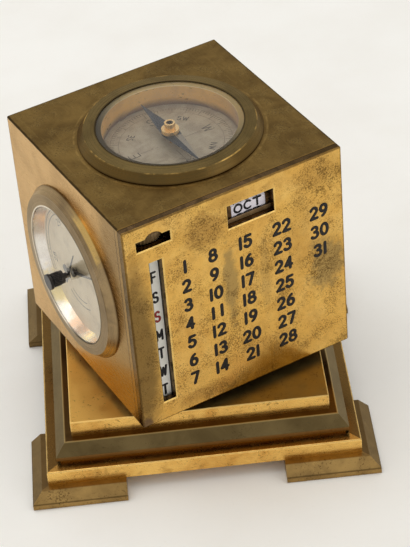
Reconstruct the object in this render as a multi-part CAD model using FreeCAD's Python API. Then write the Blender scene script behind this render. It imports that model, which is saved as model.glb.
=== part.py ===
"""Desk clock with calendar: a brass cube that revolves on a stepped square base.

Millimetres, +Z up, origin on the floor under the centre of the base. The base is square to the
axes with its front towards -Y. The cube stands turned on its swivel: its calendar face looks to
the front right, the barometer to the left, the compass upwards, the clock to the rear and the
thermometer to the right.
"""
import FreeCAD, Part
import math
import os

V = FreeCAD.Vector

# Cube
cube_half = 40.0
cube_arris = 0.5
swivel_angle = 25.5         # how far the cube stands turned, seen from above
plate_thick = 2.6           # calendar plate
frame_thick = 2.1           # frame behind the calendar plate
wall = 3.0                  # all other walls of the cube

# Base: four bracket feet, a plate, a moulding and a smaller plate
base_margin = 12.8          # base plate beyond the faces of the cube
base_thick = 5.5
base_round = 0.6
foot_ledge = 5.7            # feet beyond the edge of the base plate
foot_height = 5.2
foot_band = 2.0             # upright band under the bevel of a foot
foot_bevel = 3.5            # width of that bevel in plan
foot_arm = 31.8             # length of each arm of the bracket
foot_width = 15.0           # width of each arm
foot_screw_along = 22.0     # foot's outer corner to its screws, along the arm
foot_screw_grip = 3.5       # length of a foot screw inside the base plate
lip_step = 3.6              # edge of the base plate to the lip of the moulding
lip_height = 1.6
recess_step = 1.2           # depth of the shadow groove under the lip
recess_height = 1.5
bevel_step = 3.4            # width of the moulding's slope in plan
bevel_height = 3.7
upper_step = 2.4            # top of the slope to the upper plate
upper_thick = 6.0
upper_round = 0.4
base_screw_in = 5.4         # edge of the upper plate to the base screws
base_screw_grip = 4.2
screw_r = 1.6
screw_head_r = 3.0
screw_head = 1.6
screw_sink = 0.3            # depth of a screw's head below the face it enters

# Swivel
stud_r = 3.5
stud_below = 0.5            # stud beyond its lower nut
bush_r = 8.0
collar_r = 12.0
collar_height = 2.8
washer_r = 9.0
washer_thick = 0.8
nut_flats = 11.0
stud_nut_thick = 2.0
case_nut_thick = 4.0
turn_gap = 0.1              # between faces that turn on one another
fit = 0.05                  # radial clearance of every spindle and spigot

# Calendar plate, u to the right and z up from the middle of the face
month_u0 = -2.6             # left end of the month window
month_width = 17.05
month_height = 8.7
month_top = 5.7             # top of the cube to the month window
thumb_width = 12.1
thumb_height = 3.75
thumb_top = 5.65            # top of the cube to the thumb slot
scoop_width = 6.4           # arched relief over the thumb slot
scoop_height = 2.0
scoop_depth = 1.6
weekday_in = 10.8           # left arris of the cube to the middle of the weekday window
weekday_width = 4.6
weekday_gap = 5.75          # thumb slot down to the weekday window
weekday_foot = 7.3          # weekday window down to the bottom of the cube
window_chamfer = 0.3

# Calendar mechanism
drum_spindle_r = 1.0
letter_depth = 3.5          # face of the cube to the lettered faces of both drums
weekday_faces = 7
weekday_apothem = 5.2
weekday_overlap = 1.3       # drum beyond each end of its window
thumb_wheel_r = 6.6
thumb_wheel_teeth = 36
thumb_tooth = 0.45
thumb_wheel_play = 0.3      # wheel to the sides of its slot
thumb_hub_r = 2.6
month_faces = 12
month_apothem = 7.0
month_drop = 11.1           # top of the cube to the axis of the month drum
month_play = 1.0            # drum beyond each end of its window
month_ring = 2.1            # width of the knurled ring at the drum's end
month_teeth = 40
month_tooth = 0.3
month_ring_rise = 0.1       # ring above the corners of the drum
bearing_thick = 1.6
bearing_width = 8.0
bearing_wall = 3.0          # bearing plate beyond the spindle, away from the face
bearing_gap = 0.4           # bearing plate to drum or wheel
frame_gap = 0.5             # drums and wheel to the edges of the frame's openings
spindle_end = 0.2           # spindle beyond its bearing plates

# The four dials share one bezel
bezel_margin = 9.5          # bezel to the edge of the cube's face
bezel_foot = 0.4            # upright edge where the bezel meets the cube
bezel_slope = 2.1           # width of the sloping side
bezel_land = 3.9            # crest to the rim of the dial's case
crest_height = 3.1
lip_top = 3.5
lip_thick = 0.3
lip_cover = 0.3             # how far the lip covers the edge of the glass
spigot_wall = 0.8
spigot_short = 0.2          # spigot short of the wall's inner face
glass_thick = 0.9
dial_sink = 1.2             # face of the cube down to the face of a dial
dial_thick = 0.6
ring_width = 1.6            # sloping ring between the glass and the seen dial
can_wall = 0.7
can_floor = 0.8
side_can_depth = 12.0
clock_can_depth = 26.0

# Compass
rim_width = 2.1             # flange of the bowl that shows under the glass
bowl_wall = 0.5
flange_thick = 0.5
compass_dial_depth = 4.9
compass_dial_thick = 0.4
bowl_floor = 0.8
dome_rise = 1.1
dome_steps = 3
needle_play = 2.4           # tips of the needle to the wall of the bowl
needle_width = 3.0
needle_low = -1.3           # underside of the needle above the cube's top
needle_thick = 0.35
needle_ridge = 0.3
cap_r = 1.8
cap_collar_r = 2.95
cap_collar = 1.3
cap_height = 4.2
cap_below = 0.5
cap_well_r = 1.1
cap_well = 0.9
cap_play = 0.2              # socket to the pin, at the pin's foot
pivot_r = 0.6
pivot_point = 1.2
jewel_gap = 0.08

# Barometer, angles clockwise from the top as seen by a reader
pointer_angle = 67.0
pointer_short = 3.9         # tip of a pointer to the edge of the seen dial
pointer_tail = 9.0
pointer_width = 1.5
pointer_thick = 0.3
pointer_tip = 0.24          # width at the point
pointer_waist = 0.8         # width where the tail meets its disc
pointer_low = -0.3          # underside of a pointer above the cube's face
pointer_boss_r = 1.7
pointer_boss = 0.8
arbor_r = 0.6
arbor_below = 3.0           # arbor behind the dial
set_angle = 28.0
set_length = 13.0
set_width = 1.1
set_low = 1.75
set_tail = 5.0
set_boss_r = 1.5
knob_stem_r = 1.0
knob_collar_r = 2.3
knob_collar = 1.2
knob_r = 2.4
knob_height = 2.7
knob_teeth = 24
knob_tooth = 0.25
knob_neck_r = 1.7
knob_neck = 0.5
knob_head_r = 2.75
knob_head = 1.0
knob_lift = 1.4             # knob above the glass
capsule_play = 8.8          # capsule to the wall of its case
capsule_thick = 3.5
capsule_ripple = 0.5
capsule_rings = 2
capsule_stud_r = 2.0
capsule_stud = 0.5
capsule_post_r = 1.0
capsule_post = 1.5

# Clock
centre_arbor_r = 0.7
hour_pipe_r = 1.3
hour_low = 0.4
hour_angle = 305.0
hour_short = 11.4           # tip of the hour hand to the edge of the seen dial
minute_low = 1.2
minute_angle = 60.0
minute_short = 4.9
hand_thick = 0.3
hand_width = 1.8
hand_tail = 4.0
hand_stem = 0.7
hour_leaf = 3.2             # tip of the hour hand to the widest part of its leaf
minute_leaf = 5.0
leaf_heel = 3.0             # widest part of a leaf to its inner end
movement_play = 5.8         # plates of the movement to the wall of the case
movement_plate = 1.2
movement_front = 1.8        # back of the dial to the front plate
movement_space = 9.8
pillar_r = 1.5
pillar_in = 2.8             # pillars in from the edge of the plates
pillar_count = 3
setting_knob_r = 3.0
setting_knob_thick = 3.0
setting_teeth = 20
setting_tooth = 0.25
back_gap = 0.8              # knob and key behind the clock's case
key_out = 11.5              # centre of the clock to the key's arbor
key_r = 1.5
key_neck = 2.5
key_wing = 6.6
key_wing_height = 6.0
key_web = 4.2               # depth of the web that joins the wings
key_thick = 1.2

# Thermometer
thermo_angle = 340.0
coil_strip = 0.4
coil_height = 2.5
coil_pitch = 1.6
coil_inner = 2.0
coil_turns = 4

# Levels and positions that follow
base_half = cube_half + base_margin
foot_half = base_half + foot_ledge
lip_half = base_half - lip_step
recess_half = lip_half - recess_step
bevel_half = lip_half - bevel_step
upper_half = bevel_half - upper_step
base_z = foot_height
recess_z = base_z + base_thick
lip_z = recess_z + recess_height
bevel_z = lip_z + lip_height
upper_z = bevel_z + bevel_height
upper_top = upper_z + upper_thick
collar_z = upper_top + turn_gap
cube_z = collar_z + collar_height + cube_half
panel_v = -cube_half + plate_thick + frame_thick
weekday_u = -cube_half + weekday_in
thumb_u0 = weekday_u - thumb_width / 2
thumb_z0 = cube_half - thumb_top - thumb_height
weekday_z0 = -cube_half + weekday_foot
weekday_height = thumb_z0 - weekday_gap - weekday_z0
month_z0 = cube_half - month_top - month_height
month_z = cube_half - month_drop
bezel_r = cube_half - bezel_margin
crest_r = bezel_r - bezel_slope
can_r = crest_r - bezel_land
bezel_bore = can_r + fit
spigot_r = bezel_bore + spigot_wall
panel_bore = spigot_r + fit
dial_seen_r = can_r - ring_width
glass_top = lip_top - lip_thick
glass_low = glass_top - glass_thick
bowl_r = can_r - rim_width
bowl_outer = bowl_r + bowl_wall
needle_half = bowl_r - needle_play
capsule_r = can_r - can_wall - capsule_play
pointer_length = dial_seen_r - pointer_short
hour_length = dial_seen_r - hour_short
minute_length = dial_seen_r - minute_short
movement_r = can_r - can_wall - movement_play


# Plain solids
def block(x0, x1, y0, y1, z0, z1):
    return Part.makeBox(x1 - x0, y1 - y0, z1 - z0, V(x0, y0, z0))


def slab(half, z0, z1):
    return block(-half, half, -half, half, z0, z1)


def rod(r, z0, z1, x=0.0, y=0.0):
    return Part.makeCylinder(r, z1 - z0, V(x, y, z0))


def tube(r_out, r_in, z0, z1):
    return rod(r_out, z0, z1).cut(rod(r_in, z0 - 1, z1 + 1))


def turned(points):
    """Revolve a closed outline of (radius, height) points about Z."""
    wire = Part.makePolygon([V(r, 0, z) for r, z in points + points[:1]])
    return Part.Face(wire).revolve(V(0, 0, 0), V(0, 0, 1), 360)


def prism(points, z0, z1):
    wire = Part.makePolygon([V(x, y, z0) for x, y in points + points[:1]])
    return Part.Face(wire).extrude(V(0, 0, z1 - z0))


def regular(count, apothem, z0, z1, turn=0.0):
    """Regular prism with the middle of one face at the angle turn."""
    corner = apothem / math.cos(math.pi / count)
    angles = [math.radians(turn) + math.pi * (2 * i + 1) / count for i in range(count)]
    return prism([(corner * math.cos(a), corner * math.sin(a)) for a in angles], z0, z1)


def knurled(r, tooth, teeth, z0, z1):
    """Disc whose rim has straight knurls."""
    points = []
    for i in range(2 * teeth):
        radius = r - tooth * (i % 2)
        angle = math.pi * i / teeth
        points.append((radius * math.cos(angle), radius * math.sin(angle)))
    return prism(points, z0, z1)


def square_loft(half0, z0, half1, z1):
    """Four-sided bevel with mitred corners."""
    wires = []
    for half, z in ((half0, z0), (half1, z1)):
        corners = [V(-half, -half, z), V(half, -half, z), V(half, half, z), V(-half, half, z)]
        wires.append(Part.makePolygon(corners + corners[:1]))
    return Part.makeLoft(wires, True, True)


def round_top(shape, z, radius):
    """Round the outer edges that lie at height z."""
    edges = [e for e in shape.Edges
             if abs(e.BoundBox.ZMin - z) < 1e-6 and abs(e.BoundBox.ZMax - z) < 1e-6]
    return shape.makeFillet(radius, edges)


def join(first, *others):
    return first.fuse(list(others)).removeSplitter()


def screw(x, y, z_face, length):
    """Countersunk screw driven upwards into the face at z_face."""
    z0 = z_face + screw_sink
    z1 = z0 + screw_head
    head = turned([(0, z0), (screw_head_r, z0), (screw_r, z1), (0, z1)])
    shank = rod(screw_r, z1 - screw_head / 2, z0 + length)
    body = join(head, shank)
    body.translate(V(x, y, 0))
    return body


def screw_hole(x, y, z_face, length):
    """Clearance hole for that screw, open at the face it enters."""
    z0 = z_face + screw_sink
    z1 = z0 + screw_head
    grow = fit * 2
    cone = turned([(0, z_face - 1), (screw_head_r + grow, z_face - 1), (screw_head_r + grow, z0),
                   (screw_r + grow, z1 + grow), (0, z1 + grow)])
    hole = join(cone, rod(screw_r + fit, z1, z0 + length + fit * 2))
    hole.translate(V(x, y, 0))
    return hole


# Placing. A dial is drawn flat: x right, y up, z towards the reader, 0 at the cube's face
def to_world(shape):
    """Cube frame, with its origin at the cube's centre, to the base frame."""
    placed = shape.copy()
    placed.rotate(V(0, 0, 0), V(0, 0, 1), swivel_angle)
    placed.translate(V(0, 0, cube_z))
    return placed


def on_face(shape, right, up, out):
    turn = FreeCAD.Rotation(right, up, out, "ZYX")
    placed = shape.copy()
    placed.Placement = FreeCAD.Placement(out * cube_half, turn).multiply(placed.Placement)
    return placed


def on_top(shape):
    return on_face(shape, V(1, 0, 0), V(0, 1, 0), V(0, 0, 1))


def on_left(shape):
    return on_face(shape, V(0, -1, 0), V(0, 0, 1), V(-1, 0, 0))


def on_right(shape):
    return on_face(shape, V(0, 1, 0), V(0, 0, 1), V(1, 0, 0))


def on_rear(shape):
    return on_face(shape, V(-1, 0, 0), V(0, 0, 1), V(0, 1, 0))


def on_front(shape):
    return on_face(shape, V(1, 0, 0), V(0, 0, 1), V(0, -1, 0))


# Base
def foot_screw_places():
    """Two screws under the arms of the foot at the -X, -Y corner."""
    inner = foot_half - foot_width
    middle = (inner + base_half) / 2
    along = foot_half - foot_screw_along
    return [(-along, -middle), (-middle, -along)]


def foot_screw_length():
    return foot_height - screw_sink + foot_screw_grip


def one_foot():
    """L-shaped bracket with an upright band and a bevelled shoulder."""
    outline = join(slab(foot_half, 0, foot_band),
                   square_loft(foot_half, foot_band, foot_half - foot_bevel, foot_height))
    end = -foot_half + foot_arm
    side = -foot_half + foot_width
    plan = join(block(-foot_half, end, -foot_half, side, 0, foot_height),
                block(-foot_half, side, -foot_half, end, 0, foot_height))
    foot = outline.common(plan)
    for x, y in foot_screw_places():
        foot = foot.cut(screw_hole(x, y, 0, foot_screw_length()))
    return foot


def quarter_turns(shape):
    copies = []
    for quarter in range(4):
        copy = shape.copy()
        copy.rotate(V(0, 0, 0), V(0, 0, 1), 90 * quarter)
        copies.append(copy)
    return copies


def foot_screws():
    solids = []
    for x, y in foot_screw_places():
        solids += quarter_turns(screw(x, y, 0, foot_screw_length()))
    return Part.makeCompound(solids)


def base_screw_length():
    return upper_z - base_z - screw_sink + base_screw_grip


def base_screw_holes():
    place = base_screw_in - upper_half
    hole = screw_hole(place, place, base_z, base_screw_length())
    return Part.makeCompound(quarter_turns(hole))


def base_screws():
    place = base_screw_in - upper_half
    one = screw(place, place, base_z, base_screw_length())
    return Part.makeCompound(quarter_turns(one))


def base_plate():
    plate = round_top(slab(base_half, base_z, recess_z), recess_z, base_round)
    for x, y in foot_screw_places():
        for hole in quarter_turns(screw_hole(x, y, 0, foot_screw_length())):
            plate = plate.cut(hole)
    plate = plate.cut(rod(stud_r + fit, base_z - 1, recess_z + 1))
    return plate.cut(base_screw_holes())


def base_moulding():
    """Recessed foot, an upright lip and a slope up to the upper plate, bored for the bush."""
    body = join(slab(recess_half, recess_z, lip_z),
                slab(lip_half, lip_z, bevel_z),
                square_loft(lip_half, bevel_z, bevel_half, upper_z))
    body = body.cut(rod(bush_r + fit, recess_z - 1, upper_z + 1))
    return body.cut(base_screw_holes())


def upper_plate():
    plate = round_top(slab(upper_half, upper_z, upper_top), upper_top, upper_round)
    plate = plate.cut(rod(stud_r + fit, upper_z - 1, upper_top + 1))
    return plate.cut(base_screw_holes())


# Swivel
def pivot_bush():
    return tube(bush_r, stud_r + fit, recess_z, upper_z)


def swivel_collar():
    return tube(collar_r, stud_r + fit, collar_z, collar_z + collar_height)


def nut(z0, thick):
    return regular(6, nut_flats / 2, z0, z0 + thick).cut(rod(stud_r, z0 - 1, z0 + thick + 1))


def case_nut():
    return nut(cube_z - cube_half + wall, case_nut_thick)


def stud_washer():
    top = base_z - turn_gap
    return tube(washer_r, stud_r + fit, top - washer_thick, top)


def stud_nut():
    return nut(base_z - turn_gap - washer_thick - stud_nut_thick, stud_nut_thick)


def pivot_stud():
    low = base_z - turn_gap - washer_thick - stud_nut_thick - stud_below
    high = cube_z - cube_half + wall + case_nut_thick + stud_below
    return rod(stud_r, low, high)


# Cube
def envelope():
    """The whole cube with its rounded arrises, which trims every wall."""
    cube = Part.makeBox(2 * cube_half, 2 * cube_half, 2 * cube_half,
                        V(-cube_half, -cube_half, -cube_half))
    return cube.makeFillet(cube_arris, cube.Edges)


def window(u0, width, z0, height):
    """Opening through the calendar plate with a small chamfer at the face."""
    back = -plate_thick - 1
    hole = block(u0, u0 + width, z0, z0 + height, back, 1)
    wires = []
    for grow, z in ((0, -window_chamfer), (2 * window_chamfer, window_chamfer)):
        corners = [V(u0 - grow, z0 - grow, z), V(u0 + width + grow, z0 - grow, z),
                   V(u0 + width + grow, z0 + height + grow, z), V(u0 - grow, z0 + height + grow, z)]
        wires.append(Part.makePolygon(corners + corners[:1]))
    return join(hole, Part.makeLoft(wires, True, True))


def scoop():
    """Arched relief over the thumb slot, cut part of the way into the plate."""
    half = scoop_width / 2
    radius = (half * half + scoop_height * scoop_height) / (2 * scoop_height)
    top = thumb_z0 + thumb_height + scoop_height
    disc = rod(radius, -scoop_depth, 1, weekday_u, top - radius)
    return disc.common(block(weekday_u - half, weekday_u + half, thumb_z0, top, -scoop_depth, 1))


def calendar_plate():
    plate = block(-cube_half, cube_half, -cube_half, cube_half, -plate_thick, 0)
    plate = plate.cut(window(month_u0, month_width, month_z0, month_height))
    plate = plate.cut(window(thumb_u0, thumb_width, thumb_z0, thumb_height))
    plate = plate.cut(window(weekday_u - weekday_width / 2, weekday_width,
                             weekday_z0, weekday_height))
    plate = plate.cut(scoop())
    return on_front(plate).common(envelope())


def weekday_v():
    return -cube_half + letter_depth + weekday_apothem


def month_v():
    return -cube_half + letter_depth + month_apothem


def half_chord(r, axis_v, v):
    return math.sqrt(max(r * r - (axis_v - v) ** 2, 0))


def thumb_wheel_levels():
    return thumb_z0 + thumb_wheel_play, thumb_z0 + thumb_height - thumb_wheel_play


def weekday_levels():
    return weekday_z0 - weekday_overlap, weekday_z0 + weekday_height + weekday_overlap


def weekday_bearing_levels():
    """Inner faces of the lower and the upper bearing plate."""
    low = weekday_levels()[0] - bearing_gap
    high = thumb_wheel_levels()[1] + bearing_gap
    return low, high


def month_span():
    return month_u0 - month_play, month_u0 + month_width + month_play


def month_outer():
    return month_apothem / math.cos(math.pi / month_faces) + month_ring_rise


def frame_openings():
    """Spaces in the frame that let both drums come up to their windows."""
    low, high = weekday_bearing_levels()
    reach = half_chord(thumb_wheel_r, weekday_v(), panel_v) + frame_gap
    left = block(weekday_u - reach, weekday_u + reach, low, high, -cube_half, 1)
    u0, u1 = month_span()
    tall = half_chord(month_outer(), month_v(), panel_v) + frame_gap
    right = block(u0 - bearing_gap, u1 + bearing_gap, month_z - tall, month_z + tall,
                  -cube_half, 1)
    return [left, right]


def front_frame():
    inner = cube_half - wall
    frame = block(-cube_half, cube_half, -inner, inner, -plate_thick - frame_thick, -plate_thick)
    for opening in frame_openings():
        frame = frame.cut(opening)
    return on_front(frame).common(envelope())


def lid(sign):
    """Top or bottom wall, behind the calendar plate."""
    low, high = sorted((sign * (cube_half - wall), sign * cube_half))
    plate = block(-cube_half, cube_half, -cube_half + plate_thick, cube_half, low, high)
    return plate.common(envelope())


def top_plate():
    return lid(1).cut(rod(panel_bore, 0, cube_half + 1))


def bottom_plate():
    return lid(-1).cut(rod(stud_r + fit, -cube_half - 1, 0))


def barometer_panel():
    inner = cube_half - wall
    plate = block(-inner, -panel_v, -inner, inner, -wall, 0)
    return on_left(plate.cut(rod(panel_bore, -wall - 1, 1))).common(envelope())


def thermometer_panel():
    inner = cube_half - wall
    plate = block(panel_v, inner, -inner, inner, -wall, 0)
    return on_right(plate.cut(rod(panel_bore, -wall - 1, 1))).common(envelope())


def clock_panel():
    inner = cube_half - wall
    plate = block(-cube_half, cube_half, -inner, inner, -wall, 0)
    return on_rear(plate.cut(rod(panel_bore, -wall - 1, 1))).common(envelope())


# Calendar mechanism
def at_weekday(shape):
    placed = shape.copy()
    placed.translate(V(weekday_u, weekday_v(), 0))
    return placed


def weekday_drum():
    """Seven-sided drum, one lettered face for each order of the days."""
    low, high = weekday_levels()
    drum = regular(weekday_faces, weekday_apothem, low, high, -90)
    return at_weekday(drum.cut(rod(drum_spindle_r, low - 1, high + 1)))


def thumb_wheel():
    low, high = thumb_wheel_levels()
    rim = knurled(thumb_wheel_r, thumb_tooth, thumb_wheel_teeth, low, high)
    hub = rod(thumb_hub_r, weekday_levels()[1], low)
    return at_weekday(join(rim, hub).cut(rod(drum_spindle_r, 0, high + 1)))


def weekday_spindle():
    low, high = weekday_bearing_levels()
    reach = bearing_thick + spindle_end
    return at_weekday(rod(drum_spindle_r, low - reach, high + reach))


def weekday_bearings():
    low, high = weekday_bearing_levels()
    front = panel_v - weekday_v()
    back = drum_spindle_r + fit + bearing_wall
    plates = []
    for z0 in (low - bearing_thick, high):
        plate = block(-bearing_width / 2, bearing_width / 2, front, back, z0, z0 + bearing_thick)
        plate = plate.cut(rod(drum_spindle_r + fit, z0 - 1, z0 + bearing_thick + 1))
        plates.append(at_weekday(plate))
    return Part.makeCompound(plates)


def at_month(shape):
    """Turn a drum drawn along Z onto the month axis, which runs along u."""
    placed = shape.copy()
    placed.rotate(V(0, 0, 0), V(0, 1, 0), 90)
    placed.translate(V(0, month_v(), month_z))
    return placed


def month_drum():
    """Twelve-sided drum with a knurled ring for the finger at its right end."""
    u0, u1 = month_span()
    drum = regular(month_faces, month_apothem, u0, u1 - month_ring, -90)
    ring = knurled(month_outer(), month_tooth, month_teeth, u1 - month_ring, u1)
    return at_month(join(drum, ring).cut(rod(drum_spindle_r, u0 - 1, u1 + 1)))


def month_spindle():
    u0, u1 = month_span()
    reach = bearing_gap + bearing_thick + spindle_end
    return at_month(rod(drum_spindle_r, u0 - reach, u1 + reach))


def month_brackets():
    u0, u1 = month_span()
    front = panel_v
    back = month_v() + drum_spindle_r + fit + bearing_wall
    plates = []
    for left in (u0 - bearing_gap - bearing_thick, u1 + bearing_gap):
        plate = block(left, left + bearing_thick, front, back,
                      month_z - bearing_width / 2, month_z + bearing_width / 2)
        bore = at_month(rod(drum_spindle_r + fit, left - 1, left + bearing_thick + 1))
        plates.append(plate.cut(bore))
    return Part.makeCompound(plates)


# Dials
def bezel(seat):
    """Turned ring: spigot, sloping side, flat land and the lip that holds the glass."""
    low = -wall + spigot_short
    outside = [(spigot_r, low), (spigot_r, 0), (bezel_r, 0), (bezel_r, bezel_foot),
               (crest_r, crest_height), (can_r - lip_cover, lip_top),
               (can_r - lip_cover, glass_top), (bezel_bore, glass_top)]
    return turned(outside + seat + [(bezel_bore, low)])


def sloping_seat():
    """Seat for the glass that slopes down to the edge of the dial."""
    return [(bezel_bore, glass_low), (can_r - lip_cover, glass_low),
            (dial_seen_r, -dial_sink), (bezel_bore, -dial_sink)]


def plain_bezel():
    return bezel([])


def seated_bezel():
    return bezel(sloping_seat())


def compass_bezel():
    """The compass bezel has a ledge that carries the flange of the bowl."""
    ledge = glass_low - flange_thick
    low = -wall + spigot_short
    shelf = bowl_outer + fit
    return turned([(spigot_r, low), (spigot_r, 0), (bezel_r, 0), (bezel_r, bezel_foot),
                   (crest_r, crest_height), (can_r - lip_cover, lip_top), (can_r - lip_cover, glass_top),
                   (bezel_bore, glass_top), (bezel_bore, ledge), (shelf, ledge), (shelf, low)])


def flat_glass(hole=0.0):
    disc = rod(can_r, glass_low, glass_top)
    if hole:
        disc = disc.cut(rod(hole, glass_low - 1, glass_top + 1))
    return disc


def dial_plate(hole):
    return tube(can_r, hole, -dial_sink - dial_thick, -dial_sink)


def can(depth):
    """Round case behind a dial, closed at the back."""
    rim = -dial_sink - dial_thick
    cup = rod(can_r, -depth, rim)
    return cup.cut(rod(can_r - can_wall, -depth + can_floor, rim + 1))


def pointer(length, tail, width, low, thick, boss_r, boss, arbor_low):
    """Tapered pointer with a disc tail, its boss and the arbor behind it."""
    high = low + thick
    tip = pointer_tip / 2
    waist = pointer_waist / 2
    blade = prism([(-width / 2, 0), (-tip, length), (tip, length), (width / 2, 0),
                   (waist, -tail + width), (-waist, -tail + width)], low, high)
    disc = rod(width, low, high, 0, -tail + width)
    hub = rod(boss_r, low - fit, low + boss)
    arbor = rod(arbor_r, arbor_low, low)
    return join(blade, disc, hub, arbor)


def clockwise(shape, angle):
    turned_shape = shape.copy()
    turned_shape.rotate(V(0, 0, 0), V(0, 0, 1), -angle)
    return turned_shape


# Compass
def needle_top():
    return needle_low + needle_thick + needle_ridge


def dome(r, z):
    """Points of a dome from its rim at radius r and height z up to the middle."""
    sphere = (r * r + dome_rise * dome_rise) / (2 * dome_rise)
    points = []
    for i in range(dome_steps + 1):
        x = r * (dome_steps - i) / dome_steps
        points.append((x, z + dome_rise - sphere + math.sqrt(sphere * sphere - x * x)))
    return points


def compass_glass():
    """Shallow dome with a flat rim."""
    upper = dome(can_r - lip_cover, glass_top)
    lower = dome(bowl_r, glass_low)
    return turned([(can_r, glass_low), (can_r, glass_top)] + upper + lower[::-1])


def compass_bowl():
    """Cup with a flange that lies under the glass."""
    floor_top = -compass_dial_depth - compass_dial_thick
    bottom = floor_top - bowl_floor
    return turned([(0, bottom), (bowl_outer, bottom), (bowl_outer, glass_low - flange_thick),
                   (can_r, glass_low - flange_thick), (can_r, glass_low), (bowl_r, glass_low),
                   (bowl_r, floor_top), (0, floor_top)])


def compass_dial():
    low = -compass_dial_depth - compass_dial_thick
    disc = rod(bowl_r - fit, low, -compass_dial_depth)
    return disc.cut(rod(pivot_r + fit, low - 1, 0))


def cap_socket_top():
    """Top of the socket that rides on the pivot's point."""
    return needle_top() + cap_collar


def compass_pivot():
    """Pin with a fine point, standing on the floor of the bowl."""
    low = -compass_dial_depth - compass_dial_thick
    tip = cap_socket_top() - jewel_gap
    return turned([(0, low), (pivot_r, low), (pivot_r, tip - pivot_point), (0, tip)])


def compass_needle():
    """Long lozenge with a ridge along its middle, bored for the cap."""
    z0 = needle_low
    z1 = needle_low + needle_thick
    z2 = needle_top()
    flat = prism([(0, -needle_half), (needle_width, 0), (0, needle_half), (-needle_width, 0)],
                 z0, z1)
    tips = (V(0, -needle_half, z1), V(0, needle_half, z1))
    peak = V(0, 0, z2)
    left = V(-needle_width, 0, z1)
    right = V(needle_width, 0, z1)
    halves = []
    for tip in tips:
        faces = [Part.Face(Part.makePolygon(loop)) for loop in (
            [tip, left, peak, tip], [tip, peak, right, tip], [left, right, peak, left],
            [tip, right, left, tip])]
        halves.append(Part.Solid(Part.Shell(faces)))
    needle = join(flat, *halves)
    return needle.cut(rod(cap_r, z0 - 1, z2 + 1))


def needle_cap():
    """Brass cap: a collar on the needle, a tube above it and a socket for the pivot."""
    low = needle_low - cap_below
    collar_low = needle_top()
    top = needle_low + cap_height
    well = top - cap_well
    socket = pivot_r + cap_play
    outline = turned([(0, low), (cap_r, low), (cap_r, collar_low), (cap_collar_r, collar_low),
                      (cap_collar_r, collar_low + cap_collar), (cap_r, collar_low + cap_collar),
                      (cap_r, top), (cap_well_r, top), (cap_well_r, well), (0, well)])
    tip = cap_socket_top()
    bore = turned([(0, low - 1), (socket, low - 1), (socket, tip - pivot_point), (0, tip)])
    return outline.cut(bore)


# Barometer
def barometer_ring():
    """Polished ring between the edge of the dial and the glass."""
    return turned([(can_r, -dial_sink), (can_r, glass_low), (can_r - lip_cover, glass_low),
                   (dial_seen_r, -dial_sink)])


def barometer_dial():
    return dial_plate(arbor_r + fit)


def aneroid_capsule():
    """Sealed capsule with rippled faces on a stud, and the post that it pushes."""
    floor = -side_can_depth + can_floor
    low = floor + capsule_stud
    high = low + capsule_thick
    step = (capsule_r - capsule_stud_r) / (2 * capsule_rings)
    lower = [(0, floor), (capsule_stud_r, floor), (capsule_stud_r, low)]
    upper = [(capsule_post_r, high), (capsule_post_r, high + capsule_post),
             (0, high + capsule_post)]
    bottom = []
    top = []
    for i in range(1, 2 * capsule_rings):
        r = capsule_stud_r + i * step
        wave = capsule_ripple * (i % 2)
        bottom.append((r, low + wave))
        top.append((r, high - wave))
    edge = [(capsule_r, low + capsule_ripple), (capsule_r, high - capsule_ripple)]
    return turned(lower + bottom + edge + top[::-1] + [(capsule_stud_r, high)] + upper)


def barometer_pointer():
    arm = pointer(pointer_length, pointer_tail, pointer_width, pointer_low, pointer_thick,
                  pointer_boss_r, pointer_boss, -dial_sink - dial_thick - arbor_below)
    return clockwise(arm, pointer_angle)


def set_hand():
    """Marker under the glass, clamped on the stem of the knob."""
    high = set_low + pointer_thick
    tip = pointer_tip / 2
    blade = prism([(-set_width / 2, -set_tail), (-tip, set_length), (tip, set_length),
                   (set_width / 2, -set_tail)], set_low, high)
    hub = rod(set_boss_r, set_low, glass_low - turn_gap)
    marker = join(blade, hub).cut(rod(knob_stem_r, set_low - 1, glass_low + 1))
    return clockwise(marker, set_angle)


def set_knob():
    """Black knob above the glass, on a stem that passes through it."""
    z0 = glass_top + knob_lift
    z1 = z0 + knob_collar
    z2 = z1 + knob_height
    z3 = z2 + knob_neck
    return join(rod(knob_stem_r, set_low, z1),
                rod(knob_collar_r, z0, z1),
                knurled(knob_r, knob_tooth, knob_teeth, z1, z2),
                rod(knob_neck_r, z2, z3),
                rod(knob_head_r, z3, z3 + knob_head))


# Clock
def dial_back():
    return -dial_sink - dial_thick


def clock_dial():
    return dial_plate(hour_pipe_r + fit)


def key_hole(low, high):
    return rod(key_r + fit, low, high, -key_out, 0)


def clock_case():
    case = can(clock_can_depth)
    low = -clock_can_depth - 1
    high = -clock_can_depth + can_floor + 1
    return case.cut(rod(centre_arbor_r + fit, low, high)).cut(key_hole(low, high))


def movement_levels():
    """Undersides of the front and the rear plate."""
    front = dial_back() - movement_front - movement_plate
    return front, front - movement_space - movement_plate


def clock_movement():
    """Two round plates joined by pillars, which reach up to the back of the dial."""
    front, rear = movement_levels()
    plates = join(rod(movement_r, front, front + movement_plate),
                  rod(movement_r, rear, rear + movement_plate))
    pillars = []
    for i in range(pillar_count):
        angle = 2 * math.pi * i / pillar_count
        out = movement_r - pillar_in
        pillars.append(rod(pillar_r, rear, dial_back(), out * math.cos(angle),
                           out * math.sin(angle)))
    frame = join(plates, *pillars)
    frame = frame.cut(rod(hour_pipe_r + fit, front - 1, front + movement_plate + 1))
    frame = frame.cut(rod(centre_arbor_r + fit, rear - 1, rear + movement_plate + 1))
    return frame.cut(key_hole(rear - 1, rear + movement_plate + 1))


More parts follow.
